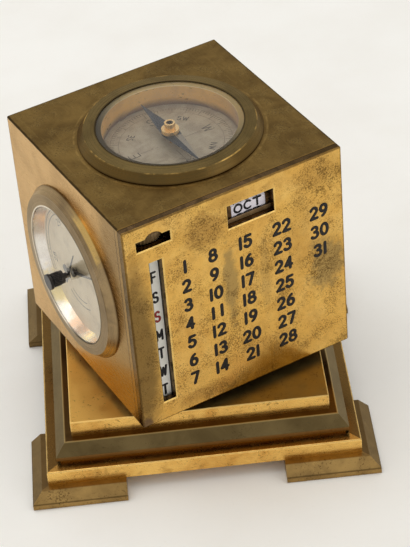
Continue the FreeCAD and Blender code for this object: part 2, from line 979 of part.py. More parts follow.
def hand(length, tip, low):
    """Spade hand: a narrow stem, a leaf towards the tip and a short tail."""
    high = low + hand_thick
    leaf = length - tip
    stem = prism([(-hand_stem / 2, -hand_tail), (-hand_stem / 2, leaf),
                  (hand_stem / 2, leaf), (hand_stem / 2, -hand_tail)], low, high)
    spade = prism([(0, leaf - leaf_heel), (-hand_width / 2, leaf), (0, length),
                   (hand_width / 2, leaf)], low, high)
    return join(stem, spade)


def hour_hand():
    blade = hand(hour_length, hour_leaf, hour_low)
    pipe_low = movement_levels()[0] + movement_plate / 2
    pipe_high = hour_low + 2 * hand_thick
    boss = rod(pointer_boss_r, hour_low, hour_low + hand_thick)
    pipe = rod(hour_pipe_r, pipe_low, pipe_high)
    bore = rod(centre_arbor_r + fit, pipe_low - 1, pipe_high + 1)
    return clockwise(join(blade, boss, pipe).cut(bore), hour_angle)


def minute_hand():
    blade = hand(minute_length, minute_leaf, minute_low)
    boss = rod(pointer_boss_r, minute_low, minute_low + 2 * hand_thick)
    bore = rod(centre_arbor_r, minute_low - 1, minute_low + 2 * hand_thick + 1)
    return clockwise(join(blade, boss).cut(bore), minute_angle)


def setting_knob():
    """Knob behind the case on the arbor that carries the minute hand."""
    top = -clock_can_depth - back_gap
    knob = knurled(setting_knob_r, setting_tooth, setting_teeth, top - setting_knob_thick, top)
    arbor = rod(centre_arbor_r, top - setting_knob_thick, minute_low + 2 * hand_thick)
    return join(knob, arbor)


def winding_key():
    """Butterfly key on the winding arbor."""
    top = -clock_can_depth - back_gap
    low = top - key_neck
    neck = rod(2 * key_r, low, top)
    arbor = rod(key_r, low, movement_levels()[1] + movement_plate)
    wings = []
    for side in (-1, 1):
        middle = side * (key_wing - key_wing_height / 2)
        disc = Part.makeCylinder(key_wing_height / 2, key_thick,
                                 V(middle, -key_thick / 2, low - key_wing_height / 2), V(0, 1, 0))
        wings.append(disc)
    web = block(-key_wing_height / 2, key_wing_height / 2, -key_thick / 2, key_thick / 2,
                low - key_web, low + key_thick / 2)
    key = join(neck, arbor, web, *wings)
    key.translate(V(-key_out, 0, 0))
    return key


# Thermometer
def thermometer_dial():
    return dial_plate(arbor_r + fit)


def bimetal_coil():
    """Flat spiral strip of half turns, standing on the floor of its case."""
    floor = -side_can_depth + can_floor
    top = floor + coil_height
    step = coil_pitch / 2
    halves = []
    for i in range(2 * coil_turns):
        inner = coil_inner + step * i
        shift = -step * (i % 2)
        side = 1 - 2 * (i % 2)
        ring = tube(inner + coil_strip, inner, floor, top)
        keep = block(-can_r, can_r, min(0, side * can_r), max(0, side * can_r), floor, top)
        arc = ring.common(keep)
        arc.translate(V(shift, 0, 0))
        halves.append(arc)
    return join(halves[0], *halves[1:])


def thermometer_pointer():
    arm = pointer(pointer_length, pointer_tail, pointer_width, pointer_low, pointer_thick,
                  pointer_boss_r, pointer_boss, -dial_sink - dial_thick - arbor_below)
    return clockwise(arm, thermo_angle)


def base_nodes():
    feet = quarter_turns(one_foot())
    return {
        "foot_front_left": feet[0],
        "foot_front_right": feet[1],
        "foot_rear_right": feet[2],
        "foot_rear_left": feet[3],
        "foot_screws": foot_screws(),
        "base_plate": base_plate(),
        "base_moulding": base_moulding(),
        "upper_plate": upper_plate(),
        "base_screws": base_screws(),
        "pivot_bush": pivot_bush(),
        "swivel_collar": swivel_collar(),
        "pivot_stud": pivot_stud(),
        "stud_washer": stud_washer(),
        "stud_nut": stud_nut(),
        "case_nut": case_nut(),
    }


def cube_nodes():
    return {
        "calendar_plate": calendar_plate(),
        "front_frame": front_frame(),
        "top_plate": top_plate(),
        "bottom_plate": bottom_plate(),
        "barometer_panel": barometer_panel(),
        "thermometer_panel": thermometer_panel(),
        "clock_panel": clock_panel(),
        "weekday_drum": weekday_drum(),
        "weekday_spindle": weekday_spindle(),
        "thumb_wheel": thumb_wheel(),
        "weekday_bearings": weekday_bearings(),
        "month_drum": month_drum(),
        "month_spindle": month_spindle(),
        "month_brackets": month_brackets(),
        "compass_bezel": on_top(compass_bezel()),
        "compass_glass": on_top(compass_glass()),
        "compass_bowl": on_top(compass_bowl()),
        "compass_dial": on_top(compass_dial()),
        "compass_pivot": on_top(compass_pivot()),
        "compass_needle": on_top(compass_needle()),
        "needle_cap": on_top(needle_cap()),
        "barometer_bezel": on_left(plain_bezel()),
        "barometer_glass": on_left(flat_glass(knob_stem_r + fit)),
        "barometer_ring": on_left(barometer_ring()),
        "barometer_dial": on_left(barometer_dial()),
        "barometer_case": on_left(can(side_can_depth)),
        "aneroid_capsule": on_left(aneroid_capsule()),
        "barometer_pointer": on_left(barometer_pointer()),
        "set_hand": on_left(set_hand()),
        "set_knob": on_left(set_knob()),
        "clock_bezel": on_rear(seated_bezel()),
        "clock_glass": on_rear(flat_glass()),
        "clock_dial": on_rear(clock_dial()),
        "clock_case": on_rear(clock_case()),
        "clock_movement": on_rear(clock_movement()),
        "hour_hand": on_rear(hour_hand()),
        "minute_hand": on_rear(minute_hand()),
        "setting_knob": on_rear(setting_knob()),
        "winding_key": on_rear(winding_key()),
        "thermometer_bezel": on_right(seated_bezel()),
        "thermometer_glass": on_right(flat_glass()),
        "thermometer_dial": on_right(thermometer_dial()),
        "thermometer_case": on_right(can(side_can_depth)),
        "bimetal_coil": on_right(bimetal_coil()),
        "thermometer_pointer": on_right(thermometer_pointer()),
    }


def main():
    os.makedirs("parts", exist_ok=True)
    nodes = base_nodes()
    for name, shape in cube_nodes().items():
        nodes[name] = to_world(shape)
    for name, shape in nodes.items():
        shape.exportStep("parts/" + name + ".step")
        print(name, len(shape.Solids), shape.isValid(), round(shape.Volume, 1))


main()
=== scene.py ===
import math

import bpy
from mathutils import Matrix, Vector


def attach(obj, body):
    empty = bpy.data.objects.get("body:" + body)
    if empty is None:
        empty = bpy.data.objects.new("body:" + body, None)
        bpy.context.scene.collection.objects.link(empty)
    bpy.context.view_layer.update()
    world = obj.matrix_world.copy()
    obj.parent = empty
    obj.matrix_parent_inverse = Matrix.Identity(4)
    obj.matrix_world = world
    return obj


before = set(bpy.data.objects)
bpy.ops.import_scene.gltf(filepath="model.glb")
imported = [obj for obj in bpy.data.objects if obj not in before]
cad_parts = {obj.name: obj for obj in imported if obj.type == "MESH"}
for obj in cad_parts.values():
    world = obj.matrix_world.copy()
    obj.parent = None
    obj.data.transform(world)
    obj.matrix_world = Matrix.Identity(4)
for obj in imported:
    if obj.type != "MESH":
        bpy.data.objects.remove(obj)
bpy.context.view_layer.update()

# Lengths in this file are in millimetres, and the cube stands turned on its swivel by degrees
SWIVEL, CUBE_MIDDLE, CUBE_HALF = 25.5, 66.4, 40.0
WEEKDAY_U, WEEKDAY_V, WEEKDAY_APOTHEM, WEEKDAY_FACES = -29.2, -31.3, 5.2, 7
MONTH_U, MONTH_V, MONTH_Z, MONTH_APOTHEM, MONTH_FACES = 6.6, -29.5, 28.9, 7.0, 12
INK_RISE, DIAL_RISE, TICK_RISE = 0.06, 0.03, 0.05

# Weekday window, thumb slot and month window of the calendar plate: middle and half size
OPENINGS = (((-29.2, -40, -3.9), (2.3, 9, 28.8)), ((-29.2, -40, 32.5), (6.05, 9, 1.9)),
            ((5.9, -40, 29.95), (8.5, 9, 4.35)))

# Upper plate and base plate: half size, and the change of height that parts their rubbed edges
BASE_BOXES = (((43.4, 43.4, 23.5), (12.5, 13.0)), ((52.8, 52.8, 10.7), (13.0, 12.5)))

# Where one tone gives way to the next: start and end of each change
PLATE_JOINTS = (-37.4, -35.3)
TOP_SKIN = (39.3, 39.7)
LEDGE_RISE, LEDGE_FALL = (10.3, 10.55), (12.0, 11.4)
UPPER_SKIN = (23.1, 23.35)
GROOVE, LIP_RISE, LIP_FALL = (12.25, 12.1), (12.25, 12.45), (13.75, 13.5)
SHELF_LEVEL, SHELF_REACH = (17.4, 17.48), (45.75, 45.5)
CREST_LEVEL, CREST_REACH = (17.1, 17.4), (45.4, 45.7)
FOOT_STEP, FOOT_RIM = 2.0, (4.95, 5.15)
BEZEL_BORE, BEZEL_FOOT = (24.75, 24.45), (30.1, 30.5)
BEZEL_SLOPE, BEZEL_CREST = (28.0, 28.7), 28.35
BOWL_FLOOR, BOWL_RIM = (38.2, 35.2), (41.9, 42.15)


def paint(red, green, blue):
    """Linear colour of a swatch given in the usual 0 to 255 steps."""
    def straight(c):
        c /= 255.0
        return c / 12.92 if c <= 0.04045 else ((c + 0.055) / 1.055) ** 2.4
    return (straight(red), straight(green), straight(blue), 1.0)


# How brass tints what it mirrors at a glancing angle
BRASS_GLANCE = paint(250, 241, 224)
GOLD_GLANCE = paint(238, 212, 164)
DARK_BORE = paint(48, 38, 24)


# Shader building
class Shading:
    """Adds nodes to one tree and joins them by socket name."""

    def __init__(self, tree):
        self.tree, self.result = tree, None

    def add(self, kind, inputs=None, **settings):
        node = self.tree.nodes.new(kind)
        for name, value in settings.items():
            setattr(node, name, value)
        for key, value in (inputs or {}).items():
            socket = node.inputs[key]
            if isinstance(value, bpy.types.NodeSocket):
                self.tree.links.new(value, socket)
            else:
                socket.default_value = value
        return node

    def put(self, kind, inputs=None, **settings):
        """Adds a node and gives its first output."""
        return self.add(kind, inputs, **settings).outputs[0]

    def math(self, operation, a, b=0.0):
        return self.put("ShaderNodeMath", {0: a, 1: b}, operation=operation)

    def times(self, a, b):
        return self.math("MULTIPLY", a, b)

    def vector(self, operation, a, b=(0.0, 0.0, 0.0)):
        node = self.add("ShaderNodeVectorMath", {0: a, 1: b}, operation=operation)
        return node.outputs["Value" if operation == "LENGTH" else "Vector"]

    def fade(self, value, start, end, low=0.0, high=1.0):
        """Smooth step from low at start to high at end."""
        node = self.add("ShaderNodeMapRange", {"Value": value, "From Min": start, "From Max": end,
                                               "To Min": low, "To Max": high},
                        interpolation_type="SMOOTHSTEP")
        return node.outputs["Result"]

    def blend(self, amount, under, over):
        node = self.add("ShaderNodeMix", {0: amount, 6: under, 7: over}, data_type="RGBA")
        return node.outputs[2]

    def lay(self, under, mask, share, over):
        """One colour laid on another through a mask, at a share of its strength."""
        return self.blend(self.times(mask, share), under, over)

    def apart(self, a, b):
        return self.math("ABSOLUTE", self.math("SUBTRACT", a, b))

    def between(self, value, rise, fall):
        """Full where the value is past its rise and not yet at its fall."""
        return self.times(self.fade(value, *rise), self.fade(value, *fall))

    def radius(self, axes):
        flat = self.put("ShaderNodeCombineXYZ", {0: axes[0], 1: axes[1]})
        return self.vector("LENGTH", flat)

    def noise(self, place, scale, detail=4.0, rough=0.55, warp=0.0):
        node = self.add("ShaderNodeTexNoise", {"Vector": place, "Scale": scale, "Detail": detail,
                                               "Roughness": rough, "Distortion": warp})
        return node.outputs["Fac"]

    def close(self, value):
        """Gives the tree that is being built its one output."""
        self.tree.links.new(value, self.result)
        return self.tree


def new_tree(kind, name, inputs, output):
    """A tree under way, with named inputs and one output, given as name, sort and value."""
    tree = bpy.data.node_groups.new(name, kind)
    for label, sort, value in inputs:
        socket = tree.interface.new_socket(label, in_out="INPUT", socket_type="NodeSocket" + sort)
        if value is not None:
            socket.default_value = value
    label, sort = output
    tree.interface.new_socket(label, in_out="OUTPUT", socket_type="NodeSocket" + sort)
    build = Shading(tree)
    given = build.add("NodeGroupInput").outputs
    build.result = build.add("NodeGroupOutput").inputs[0]
    return build, given


def shader_group(name, output, **inputs):
    """A group that takes Place and the named inputs, and puts out one value."""
    rows = [(label, "Vector" if isinstance(value, tuple) else "Float", value)
            for label, value in {"Place": (0, 0, 0), **inputs}.items()]
    return new_tree("ShaderNodeTree", name, rows, (output, "Float"))


def tarnish_clouds():
    build, given = shader_group("tarnish_clouds", "Mask", Size=10.0, Cover=0.5, Softness=0.15)
    scale = build.math("DIVIDE", 1.0, given["Size"])
    cloud = build.noise(given["Place"], scale, 6.0, 0.62, 0.4)
    edge = build.math("SUBTRACT", 0.82, build.times(given["Cover"], 0.64))
    low = build.math("SUBTRACT", edge, given["Softness"])
    high = build.math("ADD", edge, given["Softness"])
    return build.close(build.fade(cloud, low, high))


def freckles():
    """Small dark specks that crowd together in some places."""
    build, given = shader_group("freckles", "Mask", Size=1.0, Crowd=9.0, Cover=0.5)
    fine = build.noise(given["Place"], build.math("DIVIDE", 1.0, given["Size"]), 5.0, 0.72, 0.6)
    crowd = build.noise(given["Place"], build.math("DIVIDE", 1.0, given["Crowd"]), 3.0, 0.6, 0.3)
    lift = build.math("MULTIPLY_ADD", crowd, 0.45)
    lift.node.inputs[2].default_value = -0.225
    both = build.math("ADD", fine, lift)
    edge = build.math("SUBTRACT", 0.80, build.times(given["Cover"], 0.5))
    return build.close(build.fade(both, edge, build.math("ADD", edge, 0.075)))


def smear():
    """Ragged patch round a centre, fading outwards."""
    build, given = shader_group("smear", "Mask", Centre=(0, 0, 0), Reach=(10, 10, 10),
                                Ragged=0.6, Grain=3.0)
    away = build.vector("DIVIDE", build.vector("SUBTRACT", given["Place"], given["Centre"]),
                        given["Reach"])
    ragged = build.noise(given["Place"], build.math("DIVIDE", 1.0, given["Grain"]), 5.0, 0.65, 0.3)
    wobble = build.times(build.math("SUBTRACT", ragged, 0.5), build.times(given["Ragged"], 3.0))
    distance = build.math("ADD", build.vector("LENGTH", away), wobble)
    return build.close(build.fade(distance, 1.05, 0.45))


def brushing():
    """Fine scratches drawn out by Stretch."""
    build, given = shader_group("brushing", "Scratch", Stretch=(0.15, 2.5, 2.5))
    drawn = build.vector("MULTIPLY", given["Place"], given["Stretch"])
    fine = build.noise(drawn, 1.0, 3.0, 0.6)
    coarse = build.noise(build.vector("MULTIPLY", drawn, (0.4, 0.4, 0.4)), 1.0, 2.0, 0.5)
    return build.close(build.math("ADD", build.times(fine, 0.6), build.times(coarse, 0.4)))


def arris_wear():
    """Rubbed edges of a box: the middle one of the distances to its three pairs of faces."""
    build, given = shader_group("arris_wear", "Mask", Half=(40, 40, 40), Width=1.0)
    deep = build.vector("SUBTRACT", given["Half"], build.vector("ABSOLUTE", given["Place"]))
    axes = build.add("ShaderNodeSeparateXYZ", {0: deep}).outputs
    near = build.math("MINIMUM", axes[0], axes[1])
    far = build.math("MAXIMUM", axes[0], axes[1])
    middle = build.math("MAXIMUM", near, build.math("MINIMUM", far, axes[2]))
    rough = build.noise(given["Place"], 0.35, 4.0, 0.6)
    middle = build.math("ABSOLUTE", middle)
    edge = build.math("ADD", middle, build.times(build.math("SUBTRACT", rough, 0.5),
                                                 given["Width"]))
    return build.close(build.fade(edge, given["Width"], build.times(given["Width"], 0.35)))


def turned_marks():
    """Rings left by the lathe round an axis; Place has the axis on its third coordinate."""
    build, given = shader_group("turned_marks", "Ring", Pitch=0.25)
    axes = build.add("ShaderNodeSeparateXYZ", {0: given["Place"]}).outputs
    radius = build.radius(axes)
    along = build.put("ShaderNodeCombineXYZ", {0: build.math("DIVIDE", radius, given["Pitch"]),
                                               1: build.times(axes[2], 0.8)})
    return build.close(build.noise(along, 1.0, 3.0, 0.6))


def slot_lip():
    """Painted highlight: a pale line round an opening of the calendar plate."""
    build, given = shader_group("slot_lip", "Mask", Middle=(0, 0, 0), Half=(5, 5, 5), Width=0.4)
    away = build.vector("ABSOLUTE", build.vector("SUBTRACT", given["Place"], given["Middle"]))
    axes = build.add("ShaderNodeSeparateXYZ",
                     {0: build.vector("SUBTRACT", away, given["Half"])}).outputs
    beyond = build.math("SUBTRACT", build.math("MAXIMUM", axes[0], axes[2]), 0.2)
    off = build.math("ABSOLUTE", beyond)
    return build.close(build.fade(off, given["Width"], build.times(given["Width"], 0.4)))


CLOUDS = tarnish_clouds()
FRECKLES = freckles()
SMEAR = smear()
BRUSHING = brushing()
ARRIS = arris_wear()
TURNED = turned_marks()
SLOT_EDGE_HIGHLIGHT = slot_lip()


class Finish(Shading):
    """One material, with Place in millimetres: the cube's own axes, or the base's."""

    def __init__(self, name, on_cube=True, middle=(0.0, 0.0, 0.0), turn=(0.0, 0.0, 0.0)):
        self.material = bpy.data.materials.new(name)
        self.material.use_nodes = True
        super().__init__(self.material.node_tree)
        self.tree.nodes.clear()
        spot = self.add("ShaderNodeTexCoord").outputs["Object"]
        lift = CUBE_MIDDLE if on_cube else 0.0
        angle = -SWIVEL if on_cube else 0.0
        self.place = self.put("ShaderNodeMapping", {"Vector": spot, "Location": (0, 0, -lift),
                                                    "Rotation": (0, 0, math.radians(angle)),
                                                    "Scale": (1000, 1000, 1000)})
        if any(middle) or any(turn):
            moved = self.vector("SUBTRACT", self.place, middle)
            self.place = self.put("ShaderNodeMapping", {"Vector": moved, "Rotation": turn})
        self.axes = self.add("ShaderNodeSeparateXYZ", {0: self.place}).outputs
        self.across, self.back, self.up = self.axes

    def group(self, tree, **inputs):
        placed = {"Place": self.place, **inputs}
        return self.put("ShaderNodeGroup", placed, node_tree=tree)

    def clouds(self, size, cover, softness):
        return self.group(CLOUDS, Size=size, Cover=cover, Softness=softness)

    def mottled(self, size, cover, softness, light, deep):
        return self.blend(self.clouds(size, cover, softness), light, deep)

    def specks(self, size, crowd, cover):
        return self.group(FRECKLES, Size=size, Crowd=crowd, Cover=cover)

    def smear(self, centre, reach, ragged, grain):
        return self.group(SMEAR, Centre=centre, Reach=reach, Ragged=ragged, Grain=grain)

    def brushed(self, *stretch):
        return self.group(BRUSHING, Stretch=stretch)

    def arris(self, half, width):
        return self.group(ARRIS, Half=half, Width=width)

    def rings(self, pitch):
        return self.group(TURNED, Pitch=pitch)

    def line(self, axis, at, width):
        """Thin dark joint where a coordinate passes a value."""
        away = self.apart(self.axes[axis], at)
        return self.fade(away, width, width * 0.35)

    def flanks(self):
        """Left and right sides of the base, painted darker than its front: painted shade."""
        side = self.math("ABSOLUTE", self.across)
        beyond = self.math("SUBTRACT", side, self.math("ABSOLUTE", self.back))
        return self.fade(beyond, 0.0, 0.4)

    def finish(self, colour, rough, height=None, relief=0.02, **fixed):
        bsdf = self.add("ShaderNodeBsdfPrincipled", {"Base Color": colour, "Roughness": rough})
        for label, value in fixed.items():
            bsdf.inputs[label.replace("_", " ")].default_value = value
        if height is not None:
            bump = self.add("ShaderNodeBump", {"Height": height, "Strength": 0.6,
                                               "Distance": relief * 0.001})
            self.tree.links.new(bump.outputs[0], bsdf.inputs["Normal"])
        out = self.add("ShaderNodeOutputMaterial")
        self.tree.links.new(bsdf.outputs[0], out.inputs["Surface"])
        return bsdf

    def grained(self, colour, grain, low, high, relief, **fixed):
        """A finish whose roughness and relief both follow one grain."""
        self.finish(colour, self.fade(grain, 0.3, 0.7, low, high), grain, relief, **fixed)
        return self.material


# Brass finishes
BRASS = {"Metallic": 1.0, "Specular_Tint": BRASS_GLANCE}


def calendar_front():
    m = Finish("calendar_plate_brass")
    gold, warm, pale = paint(232, 186, 98), paint(214, 164, 84), paint(246, 210, 130)
    brown, dark, grey = paint(158, 118, 62), paint(78, 56, 30), paint(140, 120, 80)
    colour = m.mottled(18.0, 0.5, 0.3, gold, warm)
    colour = m.lay(colour, m.clouds(9.0, 0.35, 0.25), 0.45, pale)
    colour = m.lay(colour, m.clouds(3.2, 0.36, 0.16), 0.35, brown)

    def patch(u, z, wide, tall, ragged, grain, deep=6):
        return m.smear((u, -CUBE_HALF, z), (wide, deep, tall), ragged, grain)

    # Stains: middle across and up the plate, reach across and up, strength, colour
    for u, z, wide, tall, share, shade in (
            (-11, 29, 10, 8, 0.6, brown), (32, 33, 10, 8, 0.35, brown),
            (-3.5, 4, 3.2, 19, 0.68, grey), (9.5, 2, 2.4, 18, 0.3, grey),
            (33, -3, 9, 13, 0.72, grey), (23, 12, 5, 18, 0.22, brown),
            (-37, 24, 2.2, 9, 0.4, brown), (-13, -36, 14, 3.5, 0.5, brown),
            (-3, 37, 10, 3, 0.4, brown)):
        colour = m.lay(colour, patch(u, z, wide, tall, 0.6, 3.2), share, shade)
    margin = patch(-38.5, -9, 9.4, 44, 0.16, 4.0, 9)
    colour = m.lay(colour, margin, 0.88, paint(118, 94, 56))
    crowded = m.math("MAXIMUM", patch(-11, 29, 12, 9, 0.4, 3.0),
                     m.math("MAXIMUM", patch(32, 30, 13, 12, 0.4, 3.0),
                            patch(30, -3, 9, 12, 0.4, 3.0)))
    dense = m.times(m.specks(0.6, 5.0, 0.58), crowded)
    pepper = m.times(m.specks(0.42, 7.0, 0.52), 0.62)
    pits = m.math("MAXIMUM", m.math("MAXIMUM", m.times(dense, 0.7), pepper),
                  m.times(m.specks(0.75, 7.0, 0.28), 0.7))
    colour = m.blend(pits, colour, dark)
    corner = patch(-38.5, -39, 2.6, 3.4, 0.3, 2.0)
    colour = m.lay(colour, corner, 0.8, paint(96, 76, 62))
    # Painted highlight, a pale line round each opening of the plate
    for middle, half in OPENINGS:
        lip = m.group(SLOT_EDGE_HIGHLIGHT, Middle=middle, Half=half, Width=0.36)
        colour = m.lay(colour, lip, 0.4, paint(252, 222, 142))
    rim = m.arris((CUBE_HALF,) * 3, 0.75)
    colour = m.lay(colour, rim, 0.75, dark)
    behind = m.fade(m.back, -39.62, -39.5)
    edge = m.mottled(5.0, 0.5, 0.12, paint(114, 90, 62), paint(84, 66, 44))
    edge = m.blend(m.fade(m.across, 5.0, 34.0, 0.0, 0.8), edge, paint(74, 56, 32))
    colour = m.blend(behind, colour, edge)
    back = m.line(1, -37.45, 0.22)
    colour = m.blend(back, colour, paint(36, 26, 16))
    scratch = m.brushed(3.2, 3.2, 0.22)
    rough = m.math("ADD", m.fade(scratch, 0.3, 0.7, 0.17, 0.27), m.times(pits, 0.14))
    height = m.math("SUBTRACT", m.times(scratch, 0.5), pits)
    bsdf = m.finish(colour, rough, height, 0.02, Metallic=1.0)
    m.tree.links.new(m.blend(behind, GOLD_GLANCE, BRASS_GLANCE), bsdf.inputs["Specular Tint"])
    return m.material


def cube_sides():
    """Plates of the cube: olive on the top, tan with painted gold on the sides, dark on the
    arrises.
    """
    m = Finish("cube_plate_brass")
    tan, gold, shade = paint(212, 174, 122), paint(162, 118, 38), paint(160, 124, 78)
    # Painted highlight: the sides turn gold low down towards the front, mirroring the gold base
    low = m.times(m.fade(m.up, 4.0, -30.0), m.fade(m.back, 14.0, -22.0))
    side = m.blend(low, tan, gold)
    side = m.lay(side, m.clouds(11.0, 0.42, 0.2), 0.5, shade)
    # Painted shade: the sides darker and browner towards the front
    near = m.times(m.fade(m.back, -16.0, -34.0), 0.75)
    side = m.blend(near, side, paint(150, 120, 72))
    # Painted shade on the sides, high up near the front corner
    upper = m.smear((-40, -33, 31), (8, 11, 16), 0.4, 5.0)
    side = m.lay(side, upper, 0.7, paint(150, 122, 84))
    side = m.lay(side, m.specks(0.8, 8.0, 0.3), 0.6, paint(112, 82, 46))
    olive, umber, light = paint(134, 108, 60), paint(98, 76, 40), paint(156, 130, 76)
    top = m.mottled(13.0, 0.5, 0.2, olive, umber)
    top = m.lay(top, m.clouds(6.0, 0.36, 0.12), 0.45, light)
    drawn = m.fade(m.brushed(1.6, 0.12, 1.6), 0.52, 0.72)
    top = m.lay(top, drawn, 0.35, light)
    top = m.lay(top, m.specks(0.5, 6.0, 0.52), 0.6, paint(70, 53, 28))
    off = m.apart(m.radius(m.axes), 31.6)
    worn = m.times(m.fade(off, 0.55, 0.1), m.clouds(5.0, 0.5, 0.1))
    top = m.lay(top, worn, 0.35, paint(184, 152, 90))
    colour = m.blend(m.fade(m.up, *TOP_SKIN), side, top)
    rim = m.arris((CUBE_HALF,) * 3, 0.8)
    colour = m.lay(colour, rim, 0.9, paint(48, 36, 20))
    front_edge = m.fade(m.back, -36.9, -37.3)
    colour = m.lay(colour, front_edge, 0.7, paint(150, 116, 58))
    for at in PLATE_JOINTS:
        seam = m.times(m.line(1, at, 0.24), m.fade(m.up, 39.5, 39.2))
        colour = m.lay(colour, seam, 0.9, paint(36, 26, 16))
    scratch = m.brushed(2.6, 0.3, 2.6)
    rough = m.math("ADD", m.fade(scratch, 0.3, 0.7, 0.2, 0.3),
                   m.fade(m.up, *TOP_SKIN, 0.0, 0.1))
    height = m.math("ADD", m.times(scratch, 0.6), m.specks(0.5, 6.0, 0.45))
    m.finish(colour, rough, height, 0.02, **BRASS)
    return m.material


def base_brass():
    """Flat plates of the base: gilt edges, a gold top with a painted shadow, a tan ledge."""
    m = Finish("base_plate_brass", on_cube=False)
    gilt, brown, dark = paint(246, 200, 112), paint(166, 120, 60), paint(92, 66, 32)
    colour = m.mottled(14.0, 0.42, 0.16, gilt, paint(220, 166, 84))
    colour = m.lay(colour, m.clouds(5.0, 0.32, 0.1), 0.6, brown)
    ledge = m.between(m.up, LEDGE_RISE, LEDGE_FALL)
    colour = m.lay(colour, ledge, 0.85, paint(186, 140, 70))
    level = m.fade(m.up, *UPPER_SKIN)
    # Painted shadow of the cube: the upper plate's top gold at the left, olive at the right
    dim = m.blend(m.fade(m.across, -22.0, 14.0), paint(236, 190, 104), paint(124, 108, 66))
    colour = m.lay(colour, level, 0.9, dim)
    colour = m.lay(colour, m.specks(0.8, 7.0, 0.42), 0.7, dark)
    upright = m.math("SUBTRACT", 1.0, level)
    # Painted shade on the left and right sides
    colour = m.lay(colour, m.times(m.flanks(), upright), 0.88, paint(98, 74, 40))
    for half, change in BASE_BOXES:
        rim = m.times(m.arris(half, 0.55), m.fade(m.up, *change))
        colour = m.lay(colour, rim, 0.6, paint(250, 212, 132))
    scratch = m.brushed(0.25, 0.25, 2.8)
    rough = m.math("ADD", m.fade(scratch, 0.3, 0.7, 0.2, 0.34), m.times(level, 0.16))
    m.finish(colour, rough, m.math("SUBTRACT", scratch, m.specks(0.8, 7.0, 0.42)), 0.02, **BRASS)
    return m.material


def moulding_brass():
    m = Finish("moulding_brass", on_cube=False)
    colour = m.mottled(16.0, 0.5, 0.2, paint(122, 104, 68), paint(96, 80, 50))
    colour = m.lay(colour, m.specks(0.7, 9.0, 0.38), 0.6, paint(60, 46, 26))
    groove = m.fade(m.up, *GROOVE)
    colour = m.blend(groove, colour, paint(148, 112, 60))
    lip = m.between(m.up, LIP_RISE, LIP_FALL)
    colour = m.lay(colour, lip, 0.8, paint(142, 110, 66))
    # Painted shade on the left and right sides
    colour = m.lay(colour, m.flanks(), 0.45, paint(96, 84, 64))
    # Painted shade on the flat top of the moulding and the neck under the upper plate
    reach = m.math("MAXIMUM", m.math("ABSOLUTE", m.across), m.math("ABSOLUTE", m.back))
    shelf_shade = m.times(m.fade(m.up, *SHELF_LEVEL), m.fade(reach, *SHELF_REACH))
    colour = m.blend(shelf_shade, colour, paint(84, 62, 34))
    # Painted highlight along the top arris of the bevel
    crest = m.times(m.fade(m.up, *CREST_LEVEL), m.fade(reach, *CREST_REACH))
    colour = m.lay(colour, crest, 0.55, paint(190, 162, 106))
    return m.grained(colour, m.brushed(0.3, 0.3, 2.4), 0.26, 0.38, 0.018, **BRASS)


def foot_brass():
    m = Finish("foot_brass", on_cube=False)
    colour = m.mottled(10.0, 0.5, 0.2, paint(182, 148, 90), paint(140, 112, 68))
    colour = m.lay(colour, m.specks(0.7, 7.0, 0.44), 0.7, paint(84, 62, 34))
    # Painted shade on the left and right sides
    colour = m.lay(colour, m.flanks(), 0.75, paint(92, 76, 52))
    step = m.line(2, FOOT_STEP, 0.35)
    colour = m.lay(colour, step, 0.6, paint(60, 44, 22))
    rim = m.fade(m.up, *FOOT_RIM)
    colour = m.lay(colour, rim, 0.4, paint(96, 72, 40))
    return m.grained(colour, m.brushed(0.3, 0.3, 2.4), 0.26, 0.4, 0.02, **BRASS)


# The four dial fittings, as (middle in the cube's axes, turn that brings the axis upright)
TOP_SEAT = ((0, 0, 40), (0, 0, 0))
LEFT_SEAT = ((-40, 0, 0), (0, math.pi / 2, 0))
RIGHT_SEAT = ((40, 0, 0), (0, -math.pi / 2, 0))
REAR_SEAT = ((0, 40, 0), (math.pi / 2, 0, 0))


def bezel_brass(name, seat, land, slope, crest, bore_reflection=DARK_BORE, lit=0.0):
    m = Finish(name, middle=seat[0], turn=seat[1])
    radius = m.radius(m.axes)
    colour = m.blend(m.fade(radius, *BEZEL_SLOPE), land, slope)
    colour = m.lay(colour, m.clouds(8.0, 0.42, 0.16), 0.6,
                   tuple(c * 0.55 for c in land[:3]) + (1.0,))
    # A line in the crest colour along the crest, a painted highlight where that colour is bright
    away = m.apart(radius, BEZEL_CREST)
    ridge = m.times(m.fade(away, 0.3, 0.08), m.clouds(5.0, 0.4, 0.1))
    colour = m.lay(colour, ridge, 0.55, crest)
    # The bore: dark on one half; on the other, the colour given for it, a painted reflection where
    # pale
    inner = m.fade(radius, *BEZEL_BORE)
    wall = m.blend(m.fade(m.back, -4.0, 8.0), DARK_BORE, bore_reflection)
    colour = m.lay(colour, inner, 0.85, wall)
    foot = m.fade(radius, *BEZEL_FOOT)
    colour = m.lay(colour, foot, 0.6, paint(64, 48, 26))
    # Painted highlight on the upper slope, at the strength lit
    gleam = m.times(m.smear((25, -17, 2), (9, 12, 9), 0.4, 4.0), m.fade(radius, 29.0, 29.5))
    colour = m.lay(colour, gleam, lit, paint(246, 206, 122))
    return m.grained(colour, m.rings(0.3), 0.22, 0.36, 0.015, **BRASS)


